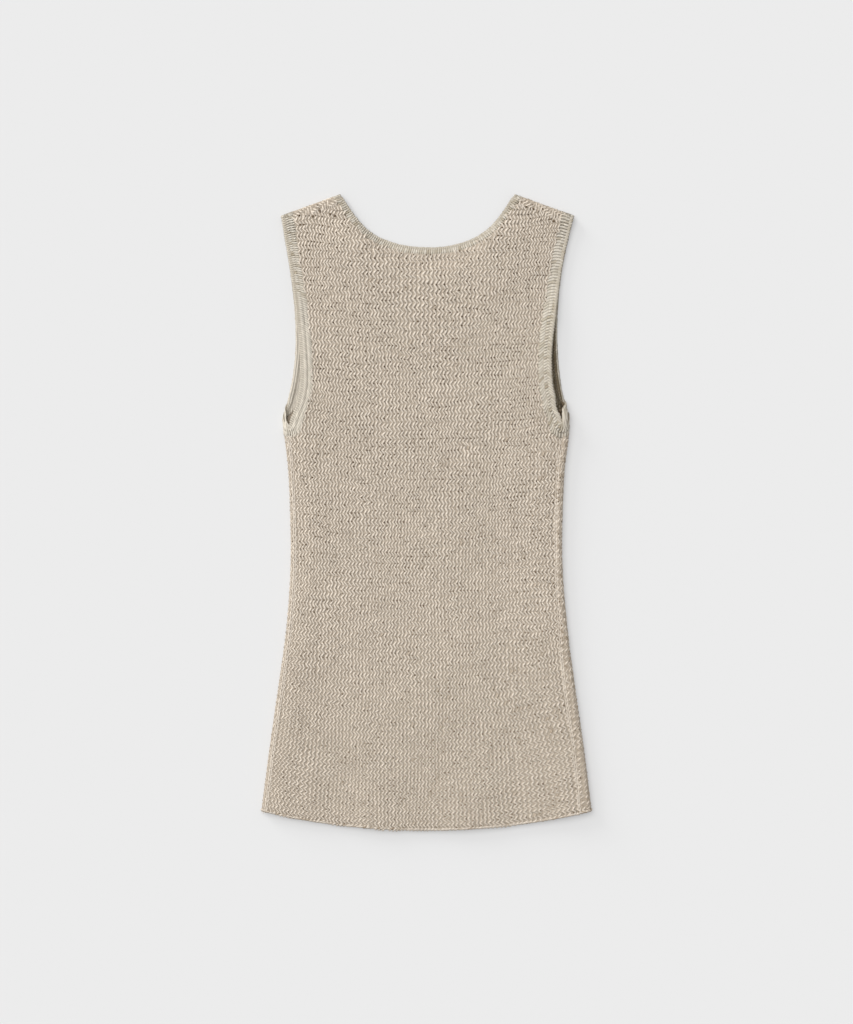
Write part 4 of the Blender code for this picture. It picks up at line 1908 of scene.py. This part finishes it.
    def stitches(self) -> list[Strands]:
        """The stitches: one set of the rows that lean right, and one of the rows that lean left.

        Returns:
            The two sets.
        """
        gauge, knit = self.gauge, self.knit
        most = int(self.half_wales) + knit.spare_wales
        wale, row = (
            grid.ravel().astype(float)
            for grid in np.meshgrid(np.arange(-most, most + 1), np.arange(gauge.row_count()))
        )
        held = self.inside_panel(*gauge.place(wale, row + 0.5))
        wale, row = wale[held], row[held]
        x, y = gauge.place(wale, row + 0.5)
        count = len(x)
        log.info("%s: %d stitches", self.node, count)
        sign = np.where(row.astype(int) % 2 == 0, 1.0, -1.0)
        uneven = knit.swing_wander.at(x, y, self.seed + Stream.SWING_WANDER)
        uneven += self.scatter(Stream.SWING, knit.swing_spread, count)
        swing = knit.swing * (1 + uneven) / 2 * sign
        slip = self.scatter(Stream.SLIP, knit.slip, count)
        start, end = (
            self.surface(*gauge.place(wale + way * swing, row + 0.5 + slip + way * 0.5), knit.sink)[0]
            for way in (-1, 1)
        )
        sides = [self.surface(*gauge.place(wale + way, row + 0.5), knit.sink)[0] for way in (-0.5, 0.5)]
        normal = self.surface(x, y, knit.sink)[1]
        across = unit(sides[1] - sides[0])
        jitter = self.scatter(Stream.JITTER, knit.jitter, (2, count, 1)) * across
        upright = 1 - np.abs((unit(end - start) * across).sum(axis=1)) ** 2
        room = np.linalg.norm(sides[1] - sides[0], axis=1) * np.sqrt(upright)
        spots = self.spots(x, y)
        sizes = self.widths(room, spots), self.lofts(spots), self.tints(sign, spots)
        sets = []
        for label, pick in (("right", sign > 0), ("left", sign < 0)):
            strands = Strands(f"{self.node}_stitches_leaning_{label}", self.seed)
            ends = (start + jitter[0])[pick], (end + jitter[1])[pick]
            strands.add(*ends, normal[pick], *(size[pick] for size in sizes), knit.overlap)
            sets.append(strands)
        return sets

    def pinholes(self, strands: Strands) -> None:
        """Adds small dark strands at some corners between the wales and at the eyelets by the seams, as
        painted shade that stands for the openings.

        Args:
            strands: The set to add them to.
        """
        gauge, knit = self.gauge, self.knit
        chance = np.random.default_rng(self.seed + Stream.PINHOLES)
        most = int(self.half_wales)
        count = int(knit.pinhole_share * (2 * most + 1) * gauge.row_count())
        wale = chance.integers(-most, most, count) + 0.5
        row = chance.integers(0, gauge.row_count(), count).astype(float)
        wale = wale - np.where(row % 2 == 0, 0.5, -0.5) * knit.swing
        x, y = gauge.place(wale, row)
        upward = knit.pinhole_fade.share(y)
        likely = knit.low_pinholes + (1 - knit.low_pinholes) * upward
        likely = likely * (1 + knit.pinhole_wander.at(x, y, self.seed + Stream.PINHOLE_WANDER))
        if self.layer is Layer.FRONT:
            likely = knit.front_pinholes * likely
        held = self.inside_panel(x, y) & (chance.random(count) < likely)
        x, y, upward = x[held], y[held], upward[held]
        tint = knit.pinhole_tint + (knit.low_pinhole_tint - knit.pinhole_tint) * (1 - upward)
        if self.layer is Layer.BACK:
            tint = np.append(tint, np.full(len(EYELETS), knit.pinhole_tint))
            x = np.append(x, [across for across, _ in EYELETS])
            y = np.append(y, [up for _, up in EYELETS])
        size = knit.pinhole_width * (1 + knit.pinhole_spread * chance.normal(0, 1, len(x)).clip(-2, 2))
        size[held.sum() :] = knit.pinhole_width * knit.eyelet_size
        sink = knit.sink - knit.pinhole_lift
        start, normal = self.surface(x, y - size / 2, sink)
        end = self.surface(x, y + size / 2, sink)[0]
        strands.add(start, end, normal, size, knit.pinhole_loft, tint)

    def hem(self, strands: Strands) -> None:
        """Adds the cast-on chain along the hem.

        Args:
            strands: The set to add it to.
        """
        chain = self.chain
        bottom = self.edges[2] + np.array([0.0, chain.inset])
        line = evenly(bottom, round(line_length(bottom) / chain.pitch) + 1)
        overrun = chain.overrun * (line[1:] - line[:-1])
        lean = np.array([0.0, chain.lean])
        sink = self.knit.sink + chain.sink
        low, normal = self.surface(*(line[:-1] - overrun - lean).T, sink)
        high = self.surface(*(line[1:] + overrun + lean).T, sink)[0]
        sizes = chain.width, chain.loft, chain.tint
        strands.add(low, high, normal, *sizes, chain.stretch, chain.unevenness)

    def build(self, tree: Tree, yarn: bpy.types.Material, ground: bpy.types.Material) -> None:
        """Makes the panel's pieces and hands them to the frame.

        Args:
            tree: The stitches' tree and inputs.
            yarn: The stitches' material.
            ground: The cloth's material.
        """
        cloth = self.ground(ground)
        sets = self.stitches()
        details = Strands(self.node + "_details", self.seed + 2)
        self.pinholes(details)
        self.hem(details)
        if self.layer is Layer.BACK:
            SideSeams(self.lay).add(details)
            ShoulderSeams(self.lay).add(details)
        pieces = [strands.build(tree, yarn) for strands in (*sets, details)]
        for piece in (cloth, *pieces):
            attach(piece, BODY)
        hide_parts(self.node)


class ProfileRow(NamedTuple):
    """A point of a band's cross-section: distance from its edge and height, as shares."""

    inset: float
    share: float

    @property
    def inside(self) -> bool:
        """Whether it lies in the inner half of the cloth."""
        return self.share < 0.5


BAND_PROFILE = (
    ProfileRow(1.00, 0.60),
    ProfileRow(0.72, 0.60),
    ProfileRow(0.44, 0.62),
    ProfileRow(0.24, 0.70),
    ProfileRow(0.10, 0.74),
    ProfileRow(0.02, 0.66),
    ProfileRow(0.00, 0.46),
    ProfileRow(0.04, 0.24),
    ProfileRow(0.16, 0.16),
    ProfileRow(0.40, 0.18),
    ProfileRow(0.70, 0.20),
    ProfileRow(1.00, 0.20),
)


class BandRow(NamedTuple):
    """A row of rib stitches: where it starts and ends across the band, its lean and its heights."""

    start: float
    end: float
    lean: float
    start_share: float
    end_share: float


ARM_ROWS = (
    BandRow(-0.01, 0.34, 0.0, 0.40, 0.80),
    BandRow(0.30, 0.68, 0.0, 0.70, 0.62),
    BandRow(0.62, 1.16, 0.35, 0.62, 0.74),
)
NECK_ROWS = (
    BandRow(-0.01, 0.52, 0.0, 0.45, 0.72),
    BandRow(0.46, 1.20, 0.3, 0.68, 0.60),
)
INNER_ROWS = (
    BandRow(0.00, 0.18, 0.0, 0.46, 0.22),
    BandRow(0.15, 0.30, 0.0, 0.22, 0.16),
    BandRow(0.27, 0.42, 0.4, 0.16, 0.16),
    BandRow(0.39, 0.60, -0.4, 0.16, 0.18),
    BandRow(0.56, 0.90, 0.4, 0.18, 0.22),
)


class RibLook(NamedTuple):
    """How a row of rib stitches shows: its tint on the strap, its width to its pitch, its height."""

    strap_tint: float
    fill: float
    loft: float


@dataclass(frozen=True)
class Ribbing:
    """How a band's ribs are knitted: fill is width to pitch, and a tint is how light they are, set as
    painted light and shade.
    """

    pitch: float
    outer_tint: float
    fill: float
    loft: float
    # Painted light and shade: inner_tint lightens or darkens the inner stitches where they lie flat, and
    # fold_tint does so for those facing sideways round the fold.
    inner_tint: float = 1.0
    fold_tint: float = 0.5
    looks: Sequence[RibLook] = ()
    overlap: float = 1.5
    inner_overlap: float = 1.25
    inner_loft: float = 0.6
    thin_loft: float = 0.45
    strap_fade: Fade = Fade(165.0, 45.0)
    strap_sink: float = 0.5
    strap_swell: float = 0.3


NECK_RIBS = Ribbing(pitch=2.1, outer_tint=0.88, fill=1.4, loft=0.34)
# Painted light and shade: the left armband, facing the lamps, is lighter and the right one darker, darkest
# in its hollow and round its fold; the strap tints lighten or darken single rows on the straps.
LEFT_RIBS = Ribbing(
    pitch=2.2, outer_tint=1.07, fill=0.96, loft=0.46, inner_tint=1.05, fold_tint=0.92,
    looks=(RibLook(1.20, 0.96, 0.46), RibLook(0.88, 0.96, 0.46), RibLook(0.89, 0.96, 0.46)),
)
RIGHT_RIBS = Ribbing(
    pitch=2.8, outer_tint=0.89, fill=0.92, loft=0.56, inner_tint=0.58, fold_tint=0.5,
    looks=(RibLook(0.88, 0.85, 0.90), RibLook(0.92, 1.02, 0.54), RibLook(0.90, 1.02, 0.54)),
)


@dataclass
class Band:
    """A ribbed band that runs round an opening, through both layers."""

    lay: Lay
    node: str
    width: float
    ring: Callable[[float, float], Cloth]
    rows: Sequence[BandRow]
    inner_rows: Sequence[BandRow]
    ribbing: Ribbing
    seed: int
    shell_spacing: float = 2.4
    turn: float = 2.2
    least_width: float = 10.0

    def shell(self, finish: bpy.types.Material) -> bpy.types.Object:
        """The band's cloth under its stitches.

        Args:
            finish: The cloth's material.

        Returns:
            The object.
        """
        outline = []
        for row in BAND_PROFILE:
            outside, inside = self.ring(row.inset * self.width, self.shell_spacing)
            outline.append(inside + (outside - inside) * row.share)
        grid = np.array(outline)
        rows, columns = grid.shape[:2]
        name = self.node + "_ground"
        mesh = make_mesh(name, grid.reshape(-1, 3), quads(rows, columns, closed=True))
        rib = np.tile(np.arange(columns) * self.shell_spacing / self.ribbing.pitch, rows)
        # Painted light and shade: the ground's inner half is darkened and warmed where inner_tint is below
        # 1, as in the right armband's hollow, and a little lighter where it is above.
        inner_shade = 2 * (1 - self.ribbing.inner_tint)
        inner = np.repeat([inner_shade * row.inside for row in BAND_PROFILE], columns)
        store(mesh, "stitch", np.stack([rib, 0 * rib, inner], 1))
        mesh.materials.append(finish)
        return new_object(name, mesh)

    def ribs(self, strands: Strands, rows: Sequence[BandRow], outer: bool) -> None:
        """Adds rows of stitches on the band's outer or inner face.

        Args:
            strands: The set to add them to.
            rows: The rows.
            outer: Whether on the outer face.
        """
        knit, wall = self.ribbing, self.lay.wall
        plain = RibLook(knit.outer_tint, knit.fill, knit.loft)
        for count, row in enumerate(rows):
            look = knit.looks[count] if outer and knit.looks else plain
            ends = []
            for inset, share, shift in (
                (row.start, row.start_share, -row.lean),
                (row.end, row.end_share, row.lean),
            ):
                outside, inside = self.ring(max(inset, 0.0) * self.width, knit.pitch)
                thick = np.minimum(np.linalg.norm(outside - inside, axis=1), wall)
                if outer:
                    place = outside - unit(outside - inside) * ((1 - share) * thick)[:, None]
                else:
                    place = inside + (outside - inside) * share
                onward = np.roll(place, -1 if shift > 0 else 1, axis=0) - place
                ends.append(place + onward * abs(shift) / 2)
            normal = unit(outside - inside) * (1 if outer else -1)
            high = knit.strap_fade.share(place[:, 1]) * (look is not plain)
            loft = look.loft * (1 - knit.strap_sink * high)
            loft = loft * (knit.thin_loft + (1 - knit.thin_loft) * thick / wall)
            # Painted light and shade: the outer ribs take their side's tint, and their strap tint on the
            # straps.
            tint = knit.outer_tint + (look.strap_tint - knit.outer_tint) * high
            if not outer:
                loft = loft * knit.inner_loft
                # Painted shade: the inner stitches darken towards fold_tint where the cloth faces sideways
                # rather than up.
                flat_tint = 1.0 if row is rows[0] else knit.inner_tint
                tint = knit.fold_tint + (flat_tint - knit.fold_tint) * eased(normal[:, 2])
            width = knit.pitch * look.fill * (1 + knit.strap_swell * high)
            strands.add(*ends, normal, width, loft, tint, knit.overlap if outer else knit.inner_overlap)

    def length(self) -> float:
        """The band's length along its middle."""
        middle = self.ring(self.width / 2, self.ribbing.pitch)[0]
        return line_length(np.vstack([middle, middle[:1]]))

    def build(self, tree: Tree, yarn: bpy.types.Material, ground: bpy.types.Material) -> None:
        """Makes the band and hands it to the frame.

        Args:
            tree: The stitches' tree and inputs.
            yarn: The stitches' material.
            ground: The cloth's material.
        """
        shell = self.shell(ground)
        strands = Strands(self.node + "_stitches", self.seed)
        self.ribs(strands, self.rows, outer=True)
        self.ribs(strands, self.inner_rows, outer=False)
        ribs = strands.build(tree, yarn)
        for piece in (shell, ribs):
            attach(piece, BODY)
        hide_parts(self.node)
        width, length = (self.width + self.turn) * MM, self.length() * MM
        log.info("%s: cut %.4f by %.3f m", self.node, width, length)


@dataclass(frozen=True)
class EdgeRoll:
    """How an armhole's edge rolls: the front's edge curls up beside a hollow that the back overhangs.

    The lifts fade along y and away from the edge, and with shares of a quarter turn round the side fold.
    """

    edge_lift: float = 1.8
    hollow: float = 1.9
    back_lift: float = 2.6
    edge_fade: Fade = Fade(100.0, 35.0)
    open_fade: Fade = Fade(185.0, 45.0)
    lip_fade: Fade = Fade(0.6, 2.4)
    hollow_fade: Fade = Fade(2.1, 2.0)
    front_fade: Fade = Fade(0.4, 0.8)
    back_fade: Fade = Fade(0.2, 1.0)
    back_reach: float = 12.0


FLAT_EDGE = EdgeRoll(edge_lift=0.6, hollow=0.8, back_lift=0.4)
CURLED_EDGE = EdgeRoll()


@dataclass(frozen=True)
class ArmRing:
    """The cloth round an armhole, through both layers."""

    lay: Lay
    side: Side
    roll: EdgeRoll

    @property
    def limit(self) -> float:
        """Length of a quarter turn round the side fold."""
        return QUARTER * self.lay.radius(self.side)

    def parts(self, curve: Array) -> list[Array]:
        """A line round the armhole, cut where the side fold starts and ends.

        Args:
            curve: Rows of the length round the side fold and the height y.

        Returns:
            Its part on the back, on the fold and on the front.
        """
        first = int(np.argmax(curve[:, 0] < self.limit))
        last = int(np.argmax(curve[:, 0] < -self.limit))
        cuts = []
        for index, level in ((first, self.limit), (last, -self.limit)):
            low, high = curve[index - 1], curve[index]
            share = (level - low[0]) / (high[0] - low[0])
            cuts.append((low + (high - low) * share)[None])
        return [
            np.vstack([curve[:first], cuts[0]]),
            np.vstack([cuts[0], curve[first:last], cuts[1]]),
            np.vstack([cuts[1], curve[last:]]),
        ]

    def lifts(self, around: Array, y: Array, inset: float) -> tuple[Array, Array]:
        """How much the rolled edge lifts the front's inner face and the back.

        Args:
            around: Length round the side fold from its outermost line, plus on the back.
            y: Places along.
            inset: The line's distance from the armhole's edge.

        Returns:
            The lift of the front's inner face and the lift of the back, in millimetres.
        """
        roll, turned = self.roll, around / self.limit
        open_part = 1 - roll.open_fade.share(y)
        lip = roll.edge_lift * (1 - roll.edge_fade.share(y)) * (1 - roll.lip_fade.share(inset))
        front = (lip - roll.hollow * roll.hollow_fade.share(inset)) * roll.front_fade.share(-turned)
        back = roll.back_lift * roll.back_fade.share(turned) * (1 - eased(inset / roll.back_reach))
        return front * open_part, back * open_part

    def faces(self, inset: float, spacing: float) -> Cloth:
        """The cloth's faces along a line round the armhole.

        Args:
            inset: The line's distance from the armhole's edge.
            spacing: Distance between points on the band's middle line.

        Returns:
            The outer and the inner face, at points that go once round.
        """
        lay, side = self.lay, self.side
        middle = self.parts(lay.arm_curve(side, lay.arm_band / 2))
        counts = [max(round(line_length(part) / spacing), 4) + 1 for part in middle]
        line = self.parts(lay.arm_curve(side, inset))
        path = np.vstack([evenly(part, count)[:-1] for part, count in zip(line, counts, strict=True)])
        around, y = path.T
        outside, inside = lay.over_side(side, around, y)
        front, back = self.lifts(around, y, inset)
        outside[:, 2] += back
        inside[:, 2] += front + back
        over = lay.shoulder_steps(spacing)
        fold = lay.over_shoulder(side, np.full(over.shape, inset), over)
        return np.vstack([outside, fold[0]]), np.vstack([inside, fold[1]])


@dataclass(frozen=True)
class NeckRing:
    """The cloth round the neck, through both layers."""

    lay: Lay

    def faces(self, inset: float, spacing: float) -> Cloth:
        """The cloth's faces along a line round the neck.

        Args:
            inset: The line's distance from the neck's edge.
            spacing: Distance between points on the band's middle line.

        Returns:
            The outer and the inner face, at points that go once round.
        """
        lay = self.lay
        over = lay.shoulder_steps(spacing)
        faces = []
        for layer, fold_side, sign in ((Layer.BACK, Side.LEFT, -1), (Layer.FRONT, Side.RIGHT, 1)):
            count = round(line_length(lay.neck_line(layer, lay.neck_band / 2)) / spacing) + 1
            line = evenly(lay.neck_line(layer, inset), count)[::sign][:-1]
            length = lay.shoulder_axes(fold_side)[3] - inset
            fold = lay.over_shoulder(fold_side, np.full(over.shape, length), sign * over)
            faces += [lay.faces(layer, *line.T), fold]
        return np.vstack([face[0] for face in faces]), np.vstack([face[1] for face in faces])


class Lamp(NamedTuple):
    """A broad, distant light: its strength, how wide it looks, its height and its bearing in degrees."""

    name: str
    strength: float
    angle: float
    height: float
    bearing: float


@dataclass(frozen=True)
class Studio:
    """The table, the light and the camera."""

    frame_long_side: float = 998.4
    focal_length: float = 100.0
    sensor: float = 36.0
    floor_drop: float = 0.2
    floor_size: float = 6.0
    floor_shade: float = 0.524
    floor_glow: float = 0.25
    lamps: tuple[Lamp, ...] = (
        Lamp("key", 1.86, 60.0, 64.5, 137.0),
        Lamp("low", 1.9, 24.0, 13.2, 135.0),
    )
    ambient: float = 0.45

    def floor(self) -> None:
        """A pale matt table that also glows a little, as a lit table does."""
        bpy.ops.mesh.primitive_plane_add(size=self.floor_size, location=(0, 0, -self.floor_drop * MM))
        table = bpy.context.object
        table.name = "floor"
        material = bpy.data.materials.new("pale_table")
        material.use_nodes = True
        nodes, shader = Nodes(material.node_tree), material.node_tree.nodes["Principled BSDF"]
        nodes.put(shader, "Base Color", (self.floor_shade,) * 3 + (1.0,))
        nodes.put(shader, "Roughness", 1.0)
        nodes.put(shader, "Specular IOR Level", 0.0)
        nodes.put(shader, "Emission Color", WHITE)
        nodes.put(shader, "Emission Strength", self.floor_glow)
        table.data.materials.append(material)
        table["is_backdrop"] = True

    def lights(self) -> None:
        """Broad soft lights from the upper left, and an even fill."""
        for lamp in self.lamps:
            data = bpy.data.lights.new(lamp.name, "SUN")
            data.energy = lamp.strength
            data.angle = math.radians(lamp.angle)
            light = new_object(lamp.name, data)
            height, turn = math.radians(lamp.height), math.radians(lamp.bearing)
            source = Vector(
                (math.cos(height) * math.cos(turn), math.cos(height) * math.sin(turn), math.sin(height))
            )
            light.rotation_mode = "QUATERNION"
            light.rotation_quaternion = source.to_track_quat("Z", "Y")
        world = bpy.data.worlds.new("fill")
        world.use_nodes = True
        background = world.node_tree.nodes["Background"]
        background.inputs["Color"].default_value = WHITE
        background.inputs["Strength"].default_value = self.ambient
        bpy.context.scene.world = world

    def camera(self) -> None:
        """A camera straight above the garment."""
        data = bpy.data.cameras.new("camera")
        data.lens = self.focal_length
        data.sensor_width = self.sensor
        above = new_object("camera", data)
        above.location = (0.0, 0.0, self.frame_long_side * MM * self.focal_length / self.sensor)
        bpy.context.scene.camera = above

    def build(self) -> None:
        """Makes the stage."""
        self.floor()
        self.lights()
        self.camera()
        bpy.context.scene.view_settings.view_transform = "Standard"


def main() -> None:
    """Builds the garment's pieces and the stage, and reports each."""
    logging.basicConfig(level=logging.INFO, format="%(name)s: %(message)s")
    Studio().build()
    lay = Lay()
    tree = stitch_tree()
    yarn = BODY_YARN.stitches()
    # Painted shade: the ground's shade darkens it between the stitches.
    ground = BODY_YARN.ground(shade=0.72, zigzag=0.3, depth=0.0006)
    Panel(lay, Layer.FRONT, 43.0, seed=23).build(tree, yarn, ground)
    Panel(lay, Layer.BACK, 38.5, seed=11).build(tree, yarn, ground)
    rib = BAND_YARN.stitches()
    # Painted shade: the rib ground is darkened between the ribs.
    rib_ground = BAND_YARN.ground(shade=0.82, zigzag=0.0, depth=0.0006)
    ring = NeckRing(lay).faces
    neckband = Band(lay, "neckband", lay.neck_band, ring, NECK_ROWS, (), NECK_RIBS, seed=31)
    neckband.build(tree, rib, rib_ground)
    for side, ribbing, roll in ((Side.LEFT, LEFT_RIBS, FLAT_EDGE), (Side.RIGHT, RIGHT_RIBS, CURLED_EDGE)):
        name, ring = "armband_" + side.label, ArmRing(lay, side, roll).faces
        armband = Band(lay, name, lay.arm_band, ring, ARM_ROWS, INNER_ROWS, ribbing, seed=37)
        armband.build(tree, rib, rib_ground)
    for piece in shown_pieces():
        log.info("%s: %d faces", piece.name, len(piece.data.polygons))


if __name__ == "__main__":
    main()
